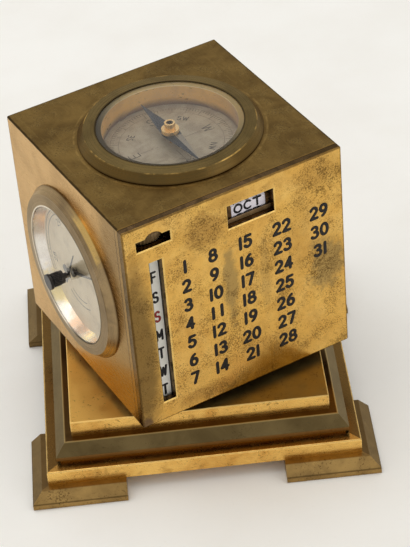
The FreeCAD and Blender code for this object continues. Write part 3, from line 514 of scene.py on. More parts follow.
def compass_cup():
    m = Finish("compass_bowl_copper")
    # Painted light and shade: the wall pale gold at the back, dull at the front; darker towards
    # the floor
    wall = m.blend(m.fade(m.back, -14.0, 10.0), paint(170, 140, 112), paint(246, 194, 96))
    wall = m.lay(wall, m.clouds(5.0, 0.4, 0.2), 0.3, paint(170, 122, 76))
    wall = m.blend(m.fade(m.up, *BOWL_FLOOR), wall, paint(128, 98, 72))
    rim = m.fade(m.up, *BOWL_RIM)
    # Painted light: the gilt rim bright towards the right rear, grey-brown towards the left front
    rear = m.math("ADD", m.times(m.across, 0.81), m.times(m.back, 0.58))
    gilt = m.blend(m.fade(rear, -12.0, 13.0), paint(140, 124, 98), paint(255, 234, 178))
    gilt = m.lay(gilt, m.specks(0.8, 5.0, 0.3), 0.6, paint(120, 84, 48))
    scratch = m.brushed(0.5, 0.5, 2.0)
    bsdf = m.finish(m.blend(rim, wall, gilt), m.fade(scratch, 0.3, 0.7, 0.26, 0.4), scratch, 0.01)
    m.tree.links.new(m.fade(rim, 0.0, 1.0, 0.45, 0.12), bsdf.inputs["Metallic"])
    return m.material


def needle_steel():
    """Blued needle; the facet turned to the light on its front half shines pale."""
    m = Finish("needle_blued_steel")
    colour = m.mottled(4.0, 0.45, 0.2, paint(62, 66, 72), paint(42, 44, 52))
    pale = m.times(m.fade(m.across, 0.0, 0.12), m.fade(m.back, -2.4, -3.4))
    colour = m.lay(colour, pale, 0.85, paint(150, 142, 128))
    return m.grained(colour, m.brushed(2.0, 0.2, 2.0), 0.26, 0.38, 0.006, Metallic=0.8)


def cap_brass():
    m = Finish("needle_cap_brass")
    colour = m.mottled(6.0, 0.45, 0.3, paint(240, 208, 150), paint(222, 178, 112))
    hole = m.times(m.fade(m.radius(m.axes), 1.2, 1.05), m.fade(m.up, 41.4, 41.9))
    colour = m.blend(hole, colour, paint(44, 32, 20))
    return m.grained(colour, m.rings(0.3), 0.18, 0.28, 0.004, Metallic=0.8)


def turned_metal(name, light, deep, rough=(0.2, 0.32), metallic=1.0):
    m = Finish(name)
    colour = m.mottled(3.0, 0.45, 0.2, light, deep)
    return m.grained(colour, m.brushed(1.2, 1.2, 3.0), *rough, 0.01, Metallic=metallic)


def dial_face(name, light, deep, stain, metallic, rough, cover=0.3):
    m = Finish(name)
    colour = m.mottled(12.0, 0.5, 0.25, light, deep)
    colour = m.lay(colour, m.clouds(4.0, cover, 0.14), 0.45, stain)
    colour = m.lay(colour, m.specks(0.7, 6.0, 0.2), 0.5, stain)
    return m.grained(colour, m.noise(m.place, 3.0, 3.0), rough - 0.06, rough + 0.06, 0.006,
                     Metallic=metallic)


def month_labels():
    """Pale labels on the month drum; its ring and the end next to it are dark brass."""
    m = Finish("month_labels")
    label = m.mottled(9.0, 0.4, 0.2, paint(246, 242, 252), paint(228, 224, 236))
    label = m.lay(label, m.specks(0.6, 5.0, 0.2), 0.35, paint(150, 142, 136))
    brass = m.mottled(2.5, 0.5, 0.2, paint(120, 92, 58), paint(74, 56, 36))
    bare = m.math("MAXIMUM", m.fade(m.across, 12.9, 13.2), m.fade(m.across, 0.65, 0.45))
    grain = m.noise(m.place, 2.5, 3.0)
    bsdf = m.finish(m.blend(bare, label, brass), m.fade(grain, 0.3, 0.7, 0.36, 0.5), grain, 0.008)
    m.tree.links.new(m.times(bare, 0.9), bsdf.inputs["Metallic"])
    return m.material


def weekday_slips():
    """White slips along the middle of the drum's faces, with the dark drum between them."""
    m = Finish("weekday_slips", middle=(WEEKDAY_U, WEEKDAY_V, 0.0))
    pitch = 2 * math.pi / WEEKDAY_FACES
    turn = m.math("ARCTAN2", m.across, m.times(m.back, -1.0))
    whole = m.times(m.math("ROUND", m.math("DIVIDE", turn, pitch)), pitch)
    across = m.times(m.math("TANGENT", m.math("SUBTRACT", turn, whole)), WEEKDAY_APOTHEM)
    slip = m.between(across, (-2.45, -2.3), (2.3, 2.15))
    white = m.mottled(9.0, 0.4, 0.2, paint(255, 254, 246), paint(238, 236, 226))
    white = m.lay(white, m.specks(0.6, 5.0, 0.22), 0.35, paint(150, 142, 126))
    wood = m.mottled(3.0, 0.5, 0.2, paint(70, 50, 30), paint(40, 28, 18))
    grain = m.noise(m.place, 2.5, 3.0)
    return m.grained(m.blend(slip, wood, white), grain, 0.36, 0.5, 0.008, Metallic=0.0)


def ink(name, colour, worn, cover=0.25, rough=0.42):
    m = Finish(name)
    shade = m.lay(colour, m.specks(0.5, 4.0, cover), 0.6, worn)
    return m.grained(shade, m.noise(m.place, 3.5, 3.0), rough - 0.08, rough + 0.1, 0.02,
                     Metallic=0.0, Specular_IOR_Level=0.3)


def clear_glass(name, seat, bend):
    """Glass with a breath of dust; lamps reach the dial behind it."""
    m = Finish(name, middle=seat[0], turn=seat[1])
    dust = m.fade(m.noise(m.place, 0.35, 5.0), 0.45, 0.75, 0.0, 0.035)
    glass = m.finish((1.0, 1.0, 1.0, 1.0), dust, Transmission_Weight=1.0, IOR=bend, Metallic=0.0)
    out = [n for n in m.tree.nodes if n.bl_idname == "ShaderNodeOutputMaterial"][0]
    open_way = m.add("ShaderNodeBsdfTransparent", {"Color": (0.93, 0.94, 0.93, 1.0)})
    shadow = m.add("ShaderNodeLightPath").outputs["Is Shadow Ray"]
    joined = m.add("ShaderNodeMixShader", {0: shadow})
    m.tree.links.new(glass.outputs[0], joined.inputs[1])
    m.tree.links.new(open_way.outputs[0], joined.inputs[2])
    m.tree.links.new(joined.outputs[0], out.inputs["Surface"])
    return m.material


def slope_silver():
    """Silvered ring round the barometer's dial, with painted reflections of the room's gold in it.
    """
    m = Finish("barometer_ring_silver")
    pale = m.mottled(9.0, 0.45, 0.2, paint(254, 250, 242), paint(226, 216, 206))
    # Painted reflections: peach and yellow patches on the silver
    peach_reflection = m.math("MAXIMUM", m.smear((-39, 20, 9), (7, 6, 8), 0.4, 2.5),
                   m.smear((-39, 1, -22), (7, 8, 5), 0.4, 2.5))
    pale = m.lay(pale, peach_reflection, 0.85, paint(240, 192, 146))
    yellow_reflection = m.smear((-39, 15, -15), (7, 9, 9), 0.4, 3.0)
    pale = m.lay(pale, yellow_reflection, 0.9, paint(255, 228, 140))
    return m.grained(pale, m.brushed(2.0, 0.5, 0.5), 0.16, 0.28, 0.008, Metallic=1.0)


front_brass = calendar_front()
plate_brass = cube_sides()
sill_brown = turned_metal("window_sill_brass", paint(150, 124, 88), paint(112, 90, 62),
                          (0.34, 0.5), 0.5)
thumb_brown = turned_metal("thumb_wheel_brass", paint(146, 122, 84), paint(104, 84, 56),
                           (0.34, 0.5), 0.5)
steel = turned_metal("spindle_steel", paint(176, 174, 170), paint(128, 124, 118))
inner_brass = turned_metal("inner_brass", paint(206, 166, 96), paint(150, 112, 60), (0.24, 0.4))
gold_cap = cap_brass()
blued = turned_metal("blued_steel", paint(66, 72, 84), paint(40, 40, 48), (0.22, 0.36))
hand_steel = turned_metal("hand_steel", paint(104, 100, 94), paint(64, 60, 56), (0.3, 0.45))
knob_black = turned_metal("knob_black", paint(30, 27, 26), paint(48, 38, 32), (0.26, 0.42), 0.0)
# Bezel colours: land, slope, and the crest line, a painted highlight where it is bright
olive_bezel = (paint(118, 100, 62), paint(104, 82, 44), paint(246, 200, 112))
# Grey bezels: land, slope, a dark crest line, a pale painted reflection in the bore, and the
# painted highlight's strength
grey_bezel = (paint(144, 124, 98), paint(160, 136, 100), paint(84, 66, 42),
              paint(255, 250, 240), 0.6)
rear_bezel = (paint(150, 124, 80), paint(160, 124, 66), paint(238, 198, 112))

DRESS = {
    "calendar_plate": front_brass,
    **dict.fromkeys(("front_frame", "top_plate", "bottom_plate", "barometer_panel",
                     "thermometer_panel", "clock_panel"), plate_brass),
    "base_plate": base_brass(), "base_moulding": moulding_brass(),
    "compass_bezel": bezel_brass("compass_bezel_brass", TOP_SEAT, *olive_bezel),
    "barometer_bezel": bezel_brass("barometer_bezel_brass", LEFT_SEAT, *grey_bezel),
    "thermometer_bezel": bezel_brass("thermometer_bezel_brass", RIGHT_SEAT, *grey_bezel),
    "clock_bezel": bezel_brass("clock_bezel_brass", REAR_SEAT, *rear_bezel),
    "compass_bowl": compass_cup(),
    "compass_dial": dial_face("compass_dial_silver", paint(168, 156, 134), paint(150, 138, 116),
                              paint(112, 98, 82), 0.35, 0.42, 0.42),
    "barometer_dial": dial_face("barometer_dial_silver", paint(226, 210, 178),
                                paint(208, 190, 156), paint(160, 140, 112), 0.25, 0.42),
    "thermometer_dial": dial_face("thermometer_dial_silver", paint(208, 202, 186),
                                  paint(186, 176, 156), paint(150, 136, 116), 0.25, 0.42),
    "clock_dial": dial_face("clock_dial_cream", paint(222, 214, 192), paint(202, 190, 162),
                            paint(160, 142, 112), 0.0, 0.5),
    "barometer_ring": slope_silver(),
    "weekday_drum": weekday_slips(),
    "compass_needle": needle_steel(), "needle_cap": gold_cap, "compass_pivot": gold_cap,
    "barometer_pointer": hand_steel, "set_hand": hand_steel, "thermometer_pointer": blued,
    "minute_hand": blued, "hour_hand": blued, "set_knob": knob_black,
    "setting_knob": inner_brass, "winding_key": inner_brass, "thumb_wheel": thumb_brown,
}
DRESS["upper_plate"] = DRESS["base_plate"]
DRESS["month_drum"] = month_labels()
DRESS.update(dict.fromkeys(("foot_front_left", "foot_front_right", "foot_rear_right",
                            "foot_rear_left"), foot_brass()))
for name, seat, bend in (("compass_glass", TOP_SEAT, 1.4), ("barometer_glass", LEFT_SEAT, 1.2),
                         ("thermometer_glass", RIGHT_SEAT, 1.4), ("clock_glass", REAR_SEAT, 1.4)):
    DRESS[name] = clear_glass(name, seat, bend)
INNER = ("swivel_collar", "pivot_bush", "stud_washer", "barometer_case", "thermometer_case",
         "clock_case", "clock_movement", "aneroid_capsule", "bimetal_coil", "weekday_bearings",
         "month_brackets")

for name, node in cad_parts.items():
    wear = DRESS.get(name) or (inner_brass if name in INNER else steel)
    node.data.materials.clear()
    node.data.materials.append(wear)


# Places on the cube
def standing(right, up, out, middle):
    """From a face's own axes (x right, y up, z out of it) to a place in space."""
    return Matrix.Translation(middle) @ Matrix((right, up, out)).transposed().to_4x4()


def cube_matrix():
    return (Matrix.Scale(0.001, 4) @ Matrix.Translation((0, 0, CUBE_MIDDLE))
            @ Matrix.Rotation(math.radians(SWIVEL), 4, "Z"))


# Right, up and outward on each face of the cube
FACE_WAYS = {
    "front": ((1, 0, 0), (0, 0, 1), (0, -1, 0)), "rear": ((-1, 0, 0), (0, 0, 1), (0, 1, 0)),
    "left": ((0, -1, 0), (0, 0, 1), (-1, 0, 0)), "right": ((0, 1, 0), (0, 0, 1), (1, 0, 0)),
    "top": ((1, 0, 0), (0, 1, 0), (0, 0, 1)),
}


def on_face(face, height):
    """A face of the cube, at a height above it, in the scene."""
    right, up, out = (Vector(way) for way in FACE_WAYS[face])
    return cube_matrix() @ standing(right, up, out, out * (CUBE_HALF + height))


# Numerals and letters drawn with one round-ended pen
def bow(x, y, rx, ry, start, end, steps=10):
    turn = [math.radians(start + (end - start) * i / steps) for i in range(steps + 1)]
    return [(x + rx * math.cos(a), y + ry * math.sin(a)) for a in turn]


# Each letter's full width, then its strokes: a tuple is a bow, and a list is a run of straight
# strokes from point to point
STEM = [(0, 0), (0, 1), (0.5, 1)]
LETTER_SHAPES = {
    "0": (1.0, (0.5, 0.5, 0.5, 0.5, 90, 450, 20)),
    "1": (0.3, [(0.15, 0), (0.15, 1)]),
    "2": (1.0, (0.48, 0.72, 0.46, 0.28, 165, -35), [(0.86, 0.56), (0, 0), (1, 0)]),
    "3": (1.0, (0.45, 0.76, 0.42, 0.24, 150, -90), (0.45, 0.27, 0.5, 0.27, 90, -150, 12)),
    "4": (1.0, [(0.74, 0), (0.74, 1), (0, 0.3), (1, 0.3)]),
    "5": (1.0, [(0.92, 1), (0.2, 1), (0.1, 0.56)], (0.45, 0.32, 0.5, 0.32, 135, -150, 12)),
    "6": (1.0, (0.5, 0.3, 0.46, 0.3, 0, 360, 18), (0.95, 0.32, 0.91, 0.7, 108, 180)),
    "7": (1.0, [(0, 1), (0.95, 1), (0.35, 0)]),
    "8": (1.0, (0.5, 0.76, 0.4, 0.24, 0, 360, 16), (0.5, 0.27, 0.5, 0.27, 0, 360, 18)),
    "9": (1.0, (0.5, 0.7, 0.46, 0.3, 0, 360, 18), (0.05, 0.68, 0.91, 0.7, -72, 0)),
    "A": (1.0, [(0, 0), (0.5, 1), (1, 0)], [(0.2, 0.36), (0.8, 0.36)]),
    "B": (0.95, STEM, (0.5, 0.76, 0.4, 0.24, 90, -90, 8), [(0, 0.52), (0.5, 0.52)],
          (0.5, 0.26, 0.46, 0.26, 90, -90, 8), [(0.5, 0), (0, 0)]),
    "C": (1.0, (0.55, 0.5, 0.52, 0.5, 48, 312, 14)),
    "D": (1.0, [(0, 0), (0, 1), (0.45, 1)], (0.45, 0.5, 0.55, 0.5, 90, -90, 12),
          [(0.45, 0), (0, 0)]),
    "E": (0.85, [(0, 0), (0, 1), (0.85, 1)], [(0, 0.52), (0.7, 0.52)], [(0, 0), (0.85, 0)]),
    "F": (0.85, [(0, 0), (0, 1), (0.85, 1)], [(0, 0.52), (0.7, 0.52)]),
    "G": (1.0, (0.55, 0.5, 0.52, 0.5, 48, 340, 14), [(1.02, 0.34), (1.02, 0.48), (0.62, 0.48)]),
    "J": (0.75, [(0.72, 1), (0.72, 0.3)], (0.38, 0.3, 0.34, 0.3, 0, -160, 8)),
    "L": (0.8, [(0, 1), (0, 0), (0.8, 0)]),
    "M": (1.15, [(0, 0), (0, 1), (0.57, 0.3), (1.15, 1), (1.15, 0)]),
    "N": (1.0, [(0, 0), (0, 1), (1, 0), (1, 1)]),
    "O": (1.0, (0.5, 0.5, 0.52, 0.5, 90, 450, 18)),
    "P": (0.9, STEM, (0.5, 0.73, 0.42, 0.27, 90, -90, 8), [(0.5, 0.46), (0, 0.46)]),
    "R": (0.95, STEM, (0.5, 0.73, 0.42, 0.27, 90, -90, 8), [(0.5, 0.46), (0, 0.46)],
          [(0.45, 0.46), (0.95, 0)]),
    "S": (0.95, (0.48, 0.75, 0.42, 0.25, 35, 250, 10), (0.48, 0.26, 0.46, 0.26, 80, -150, 10)),
    "T": (1.0, [(0.5, 0), (0.5, 1)], [(0, 1), (1, 1)]),
    "U": (1.0, [(0, 1), (0, 0.35)], (0.5, 0.35, 0.5, 0.35, 180, 360, 10), [(1, 0.35), (1, 1)]),
    "V": (1.0, [(0, 1), (0.5, 0), (1, 1)]),
    "W": (1.3, [(0, 1), (0.33, 0), (0.65, 0.85), (0.98, 0), (1.3, 1)]),
    "Y": (1.0, [(0, 1), (0.5, 0.48)], [(1, 1), (0.5, 0.48), (0.5, 0)]),
}


def strokes_of(shapes):
    lines = []
    for shape in shapes:
        if isinstance(shape, tuple):
            lines.append(bow(*shape))
        else:
            lines += [list(leg) for leg in zip(shape, shape[1:])]
    return lines


PEN_STROKES = {letter: (width, strokes_of(shapes))
               for letter, (width, *shapes) in LETTER_SHAPES.items()}


def word_lines(word, middle, height, width, gap, turn=0.0):
    """Strokes of one word set round its middle. Width is that of a full letter."""
    widths = [PEN_STROKES[c][0] * width for c in word]
    gaps = [gap * (2.1 if word[i:i + 2] == "11" else 1.0) for i in range(len(word) - 1)]
    x = -(sum(widths) + sum(gaps)) / 2
    c, s = math.cos(turn), math.sin(turn)
    lines = []
    for i, letter in enumerate(word):
        for stroke in PEN_STROKES[letter][1]:
            placed = [(x + px * width, (py - 0.5) * height) for px, py in stroke]
            lines.append([(middle[0] + c * px - s * py, middle[1] + s * px + c * py)
                          for px, py in placed])
        x += widths[i] + (gaps[i] if i < len(gaps) else 0)
    return lines


def geometry_tree(name, inputs):
    rows = [("Geometry", "Geometry", None), *inputs]
    return new_tree("GeometryNodeTree", name, rows, ("Geometry", "Geometry"))


def pen_tree():
    """Turns drawn lines into low rounded strokes with round ends."""
    build, given = geometry_tree(
        "pen_strokes", [("Stroke", "Float", 1.0), ("Relief", "Float", 0.1),
                        ("Ink", "Material", None)])
    half = build.times(given["Stroke"], 0.5)
    lines = build.put("GeometryNodeMeshToCurve", {"Mesh": given["Geometry"]})
    round_nib = build.put("GeometryNodeCurvePrimitiveCircle", {"Resolution": 8, "Radius": half})
    tubes = build.put("GeometryNodeCurveToMesh", {"Curve": lines, "Profile Curve": round_nib})
    tips = build.put("GeometryNodeCurveEndpointSelection")
    dot = build.put("GeometryNodeMeshUVSphere", {"Segments": 8, "Rings": 5, "Radius": half})
    ends = build.put("GeometryNodeInstanceOnPoints",
                     {"Points": lines, "Selection": tips, "Instance": dot})
    both = build.add("GeometryNodeJoinGeometry")
    build.tree.links.new(tubes, both.inputs[0])
    build.tree.links.new(ends, both.inputs[0])
    whole = build.put("GeometryNodeRealizeInstances", {0: both.outputs[0]})
    at = build.put("GeometryNodeInputPosition")
    axes = build.add("ShaderNodeSeparateXYZ", {0: at}).outputs
    low = build.times(axes[2], build.math("DIVIDE", given["Relief"], half))
    flat = build.put("ShaderNodeCombineXYZ", {0: axes[0], 1: axes[1], 2: low})
    pressed = build.put("GeometryNodeSetPosition", {"Geometry": whole, "Position": flat})
    smooth = build.put("GeometryNodeSetShadeSmooth", {0: pressed})
    dressed = build.add("GeometryNodeSetMaterial", {"Geometry": smooth, "Material": given["Ink"]})
    return build.close(dressed.outputs[0])


def tick_tree():
    """Graduations on an arc, every so many of them longer."""
    build, given = geometry_tree(
        "graduations",
        [("Count", "Int", 60), ("Outer Radius", "Float", 20.0), ("Length", "Float", 1.0),
         ("Long Length", "Float", 2.0), ("Long Every", "Int", 5), ("Width", "Float", 0.2),
         ("Relief", "Float", 0.05), ("First", "Float", 0.0), ("Step", "Float", 0.1),
         ("Ink", "Material", None)])
    points = build.put("GeometryNodePoints", {"Count": given["Count"]})
    index = build.put("GeometryNodeInputIndex")
    angle = build.math("ADD", build.times(index, given["Step"]), given["First"])
    rest = build.math("FLOORED_MODULO", index, given["Long Every"])
    is_long = build.math("LESS_THAN", rest, 0.5)
    extra = build.math("SUBTRACT", given["Long Length"], given["Length"])
    length = build.math("ADD", given["Length"], build.times(is_long, extra))
    radius = build.math("SUBTRACT", given["Outer Radius"], build.times(length, 0.5))
    place = build.put("ShaderNodeCombineXYZ",
                      {0: build.times(build.math("SINE", angle), radius),
                       1: build.times(build.math("COSINE", angle), radius)})
    placed = build.put("GeometryNodeSetPosition", {"Geometry": points, "Position": place})
    bar = build.put("GeometryNodeMeshCube")
    turn = build.put("ShaderNodeCombineXYZ", {2: build.times(angle, -1.0)})
    size = build.put("ShaderNodeCombineXYZ", {0: given["Width"], 1: length, 2: given["Relief"]})
    bars = build.put("GeometryNodeInstanceOnPoints",
                     {"Points": placed, "Instance": bar, "Rotation": turn, "Scale": size})
    whole = build.put("GeometryNodeRealizeInstances", {0: bars})
    dressed = build.add("GeometryNodeSetMaterial", {"Geometry": whole, "Material": given["Ink"]})
    return build.close(dressed.outputs[0])


PEN = pen_tree()
TICKS = tick_tree()


def stood(name, data):
    """A new object in the scene."""
    holder = bpy.data.objects.new(name, data)
    bpy.context.scene.collection.objects.link(holder)
    return holder


def grown(name, mesh, tree, inputs):
    """The plain mesh that a geometry tree makes, in its own millimetres."""
    piece = stood(name, mesh)
    modifier = piece.modifiers.new("grow", "NODES")
    modifier.node_group = tree
    for socket in tree.interface.items_tree:
        if socket.in_out == "INPUT" and socket.name in inputs:
            modifier[socket.identifier] = inputs[socket.name]
    graph = bpy.context.evaluated_depsgraph_get()
    made = bpy.data.meshes.new_from_object(piece.evaluated_get(graph), depsgraph=graph)
    piece.modifiers.clear()
    piece.data = made
    made.name = name
    return piece


def set_down(piece, place, body):
    piece.data.transform(place)
    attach(piece, body)


def line_mesh(name, lines):
    """Loose edges along the given lines."""
    points, edges = [], []
    for line in lines:
        first = len(points)
        points += [(x, y, 0.0) for x, y in line]
        edges += [(first + i, first + i + 1) for i in range(len(line) - 1)]
    mesh = bpy.data.meshes.new(name)
    mesh.from_pydata(points, edges, [])
    return mesh


def lettering(name, lines, place, body, slot, colour, stroke, relief=DIAL_RISE):
    pen = {"Stroke": stroke, "Relief": relief, "Ink": colour}
    set_down(grown(name, line_mesh(name, lines), PEN, pen), place, body)


def graduations(name, place, body, slot, colour, count, radius, short, long, width, first, step):
    """Ticks round a dial, every fifth one long, from an angle in degrees clockwise of the top."""
    sizes = {"Count": count, "Outer Radius": radius, "Length": short, "Long Length": long,
             "Long Every": 5, "Width": width, "Relief": TICK_RISE, "First": math.radians(first),
             "Step": math.radians(step), "Ink": colour}
    set_down(grown(name, bpy.data.meshes.new(name), TICKS, sizes), place, body)


numeral_black = ink("numeral_black", paint(20, 14, 10), paint(80, 56, 28), 0.3, 0.5)
letter_black = ink("letter_black", paint(20, 18, 22), paint(60, 56, 56), 0.15)
letter_red = ink("letter_red", paint(150, 34, 32), paint(180, 90, 80), 0.2)
dial_ink = ink("dial_ink", paint(64, 56, 48), paint(112, 100, 84), 0.35)
dial_faint = ink("dial_faint", paint(112, 100, 86), paint(142, 130, 112), 0.35)
clock_ink = ink("clock_ink", paint(38, 34, 32), paint(90, 84, 76), 0.2)


# Calendar numerals: five columns of seven, the last with three
def calendar_numerals():
    lines, day = [], 1
    for middle in (-19.3, -9.1, 2.85, 16.5, 30.6):
        for row in range(7):
            if day <= 31:
                lines += word_lines(str(day), (middle, 18.2 - 7.69 * row), 4.3, 2.4, 1.2)
                day += 1
    lettering("calendar_numerals", lines, on_face("front", 0.0), "cube", "black_knob",
              numeral_black, 1.24, INK_RISE)


# Weekday initials on the seven faces of their drum, and months on the twelve of theirs
WEEK = "FSSMTWT"
WEEKDAY_ROWS = (16.1, 8.0, 0.1, -7.6, -15.1, -22.7, -30.6)
MONTHS = ("OCT", "NOV", "DEC", "JAN", "FEB", "MAR", "APR", "MAY", "JUN", "JUL", "AUG", "SEP")


def weekday_initials():
    plain, red = [], []
    for face in range(WEEKDAY_FACES):
        turn = 2 * math.pi * face / WEEKDAY_FACES
        out = Vector((math.sin(turn), -math.cos(turn), 0.0))
        middle = Vector((WEEKDAY_U, WEEKDAY_V, 0.0)) + out * WEEKDAY_APOTHEM
        up = Vector((0, 0, 1))
        place = standing(up.cross(out), up, out, middle)
        for row, z in enumerate(WEEKDAY_ROWS):
            day = (row + face) % 7
            lines = word_lines(WEEK[day], (0.15, z), 3.9, 1.7, 0.5)
            (red if day == 2 else plain).append((place, lines))
    for name, groups, colour, in (("weekday_initials", plain, letter_black),
                                  ("sunday_initials", red, letter_red)):
        raised(name, groups, 0.86, colour, "weekday_drum")


def raised(name, groups, stroke, colour, drum):
    """Strokes on several faces of a drum, each grown flat and then laid on its face."""
    pieces = []
    for number, (place, lines) in enumerate(groups):
        part = grown(name + str(number), line_mesh(name, lines), PEN,
                     {"Stroke": stroke, "Relief": INK_RISE * 0.7, "Ink": colour})
        part.data.transform(place)
        pieces.append(part)
    with bpy.context.temp_override(active_object=pieces[0], selected_editable_objects=pieces):
        bpy.ops.object.join()
    pieces[0].name = name
    set_down(pieces[0], cube_matrix(), drum)


def month_names():
    groups = []
    for face in range(MONTH_FACES):
        turn = 2 * math.pi * face / MONTH_FACES
        out = Vector((0.0, -math.cos(turn), math.sin(turn)))
        up = Vector((0.0, math.sin(turn), math.cos(turn)))
        middle = Vector((MONTH_U, MONTH_V, MONTH_Z)) + out * MONTH_APOTHEM
        groups.append((standing(up.cross(out), up, out, middle),
                       word_lines(MONTHS[face], (0, 0.4), 2.9, 2.6, 0.95)))
    raised("month_names", groups, 0.8, letter_black, "month_drum")


def month_sill():
    """Strip behind the lower edge of the month window, with a bevelled top."""
    profile = [(-37.38, 25.2), (-37.38, 26.9), (-37.3, 27.0), (-37.0, 27.0), (-37.0, 25.2)]
    points = [(u, v, z) for u in (-2.9, 14.7) for v, z in profile]
    count = len(profile)
    faces = [(i, (i + 1) % count, (i + 1) % count + count, i + count) for i in range(count)]
    faces += [tuple(reversed(range(count))), tuple(range(count, 2 * count))]
    mesh = bpy.data.meshes.new("month_sill")
    mesh.from_pydata(points, [], faces)
    mesh.materials.append(sill_brown)
    set_down(stood("month_sill", mesh), cube_matrix(), "cube")


# Dials
def around(words, radius, first, step, height, width, gap, upright=False):
    """Words round a dial, the first at an angle clockwise from the top."""
    lines = []
    for i, word in enumerate(words):
        angle = math.radians(first + step * i)
        middle = (radius * math.sin(angle), radius * math.cos(angle))
        lines += word_lines(word, middle, height, width, gap, 0.0 if upright else -angle)
    return lines


def compass_markings():
    dial = (on_face("top", -4.9), "cube", "silvered_dial")
    lines = around(["S", "W", "N", "E"], 13.8, 0, 90, 3.6, 2.4, 0.8)
    lines += around(["SW", "NW", "NE", "SE"], 14.0, 45, 90, 2.0, 1.3, 0.7)
    circles = [bow(0, 0, r, r, 0, 360, 64) for r in (17.4, 20.2)]
    lettering("compass_circles", circles, *dial, dial_faint, 0.16)
    lettering("compass_points", lines, *dial, dial_ink, 0.34)
    rays = [[(-0.9, -5.0), (-0.9, -11.2)], [(0.9, -5.0), (0.9, -11.2)],
            [(-1.6, -10.4), (0, -12.4)],
            [(1.6, -10.4), (0, -12.4)], [(-5.0, 0), (-11.5, 0)], [(5.0, 0), (11.5, 0)],
            [(0, 5.0), (0, 11.5)]]
    lettering("compass_arrow", rays, *dial, dial_faint, 0.2)
    graduations("compass_degrees", *dial, dial_ink, 120, 20.2, 1.3, 2.6, 0.14, 0, 3)


def barometer_markings():
    dial = (on_face("left", -1.2), "cube", "cream_dial")
    lines = around(["28", "29", "30", "31"], 17.2, -105, 70, 2.3, 1.3, 0.6)
    lines += [bow(0, 0, r, r, -30, 210, 48) for r in (20.0, 21.9)]
    lines += [bow(0, 0, 14.0, 14.0, 240, 300, 16), bow(0, 0, 11.8, 11.8, 245, 295, 14)]
    lettering("barometer_figures", lines, *dial, dial_ink, 0.3)
    graduations("barometer_scale", *dial, dial_ink, 61, 21.9, 1.0, 1.9, 0.14, -120, 4)


def thermometer_markings():
    dial = (on_face("right", -1.2), "cube", "cream_dial")
    lines = around(["0", "10", "20", "30", "40", "50"], 17.4, -125, 50, 2.3, 1.3, 0.6)
    lines += [bow(0, 0, r, r, -35, 215, 48) for r in (20.0, 21.9)]
    lettering("thermometer_figures", lines, *dial, clock_ink, 0.26)
    graduations("thermometer_scale", *dial, clock_ink, 51, 21.9, 1.0, 1.9, 0.16, -125, 5)


def clock_markings():
    dial = (on_face("rear", -1.2), "clock", "cream_dial")
    hours = [str(h) for h in range(1, 13)]
    lines = around(hours, 17.0, 30, 30, 3.2, 1.6, 0.75, upright=True)
    lines += [bow(0, 0, r, r, 0, 360, 72) for r in (20.4, 22.2)]
    lettering("clock_hours", lines, *dial, clock_ink, 0.36, 0.04)
    graduations("clock_minutes", *dial, clock_ink, 60, 22.2, 1.8, 1.8, 0.2, 0, 6)


calendar_numerals()
weekday_initials()
month_names()
month_sill()
compass_markings()
barometer_markings()
thermometer_markings()
clock_markings()


# Table, lamps and camera
def table():
    mesh = bpy.data.meshes.new("table")
    mesh.from_pydata([(-3, -3, -0.0002), (3, -3, -0.0002), (3, 3, -0.0002), (-3, 3, -0.0002)],
                     [], [(0, 1, 2, 3)])
    floor = stood("table", mesh)
    m = Finish("table_paper", on_cube=False)
    soft = m.noise(m.place, 0.02, 4.0)
    speck = m.noise(m.place, 0.6, 3.0)
    colour = m.blend(m.fade(soft, 0.35, 0.7), paint(254, 254, 251), paint(250, 249, 245))
    colour = m.blend(m.fade(speck, 0.62, 0.8, 0.0, 0.25), colour, paint(238, 236, 230))
    m.finish(colour, m.fade(speck, 0.3, 0.7, 0.6, 0.75), speck, 0.05, Metallic=0.0)
    mesh.materials.append(m.material)


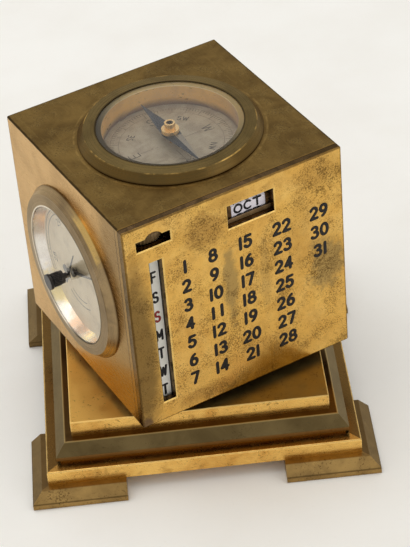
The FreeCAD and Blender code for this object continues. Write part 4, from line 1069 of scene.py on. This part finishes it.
def room():
    """Pale at table height, dim higher up, as a room is round a lit table."""
    world = bpy.data.worlds.new("room")
    world.use_nodes = True
    bpy.context.scene.world = world
    build = Shading(world.node_tree)
    world.node_tree.nodes.clear()
    way = build.add("ShaderNodeTexCoord").outputs["Generated"]
    up = build.add("ShaderNodeSeparateXYZ", {0: way}).outputs[2]
    ramp = build.add("ShaderNodeValToRGB", {0: up})
    stops = [(0.0, paint(252, 251, 248)), (0.22, paint(243, 241, 237)),
             (0.42, paint(210, 206, 200)), (0.7, paint(208, 206, 202)), (1.0,
                                                                         paint(240, 238, 235))]
    ramp.color_ramp.elements[0].position, ramp.color_ramp.elements[0].color = stops[0]
    ramp.color_ramp.elements[1].position, ramp.color_ramp.elements[1].color = stops[-1]
    for position, colour in stops[1:-1]:
        ramp.color_ramp.elements.new(position).color = colour
    light = build.add("ShaderNodeBackground", {"Color": ramp.outputs[0], "Strength": 1.0})
    out = build.add("ShaderNodeOutputWorld")
    world.node_tree.links.new(light.outputs[0], out.inputs["Surface"])


def lamp(name, spot, aim, size, power, colour):
    data = bpy.data.lights.new(name, "AREA")
    data.shape, data.size, data.energy, data.color = "DISK", size, power, colour
    holder = stood(name, data)
    holder.location = spot
    holder.rotation_euler = (Vector(aim) - Vector(spot)).to_track_quat("-Z", "Y").to_euler()


def camera():
    data = bpy.data.cameras.new("camera")
    data.sensor_fit, data.sensor_width, data.lens = "HORIZONTAL", 36.0, 188.1
    data.clip_start, data.clip_end = 0.05, 20.0
    holder = stood("camera", data)
    right, down = Vector((0.99413, -0.08172, -0.07085)), Vector((-0.10615, -0.61140, -0.78416))
    forward = Vector((0.02076, 0.78709, -0.61649))
    holder.matrix_world = standing(right, -down, -forward, (-0.00818, -0.57719, 0.49842))
    bpy.context.scene.camera = holder


table()
room()
lamp("window_light", (-0.25, 0.15, 0.95), (0, 0, 0.05), 1.0, 2.3, (1.0, 0.99, 0.975))
lamp("side_light", (0.9, -0.5, 0.8), (0, 0, 0.05), 0.7, 0.9, (1.0, 0.98, 0.95))
camera()

scene = bpy.context.scene
scene.view_settings.view_transform = "Standard"
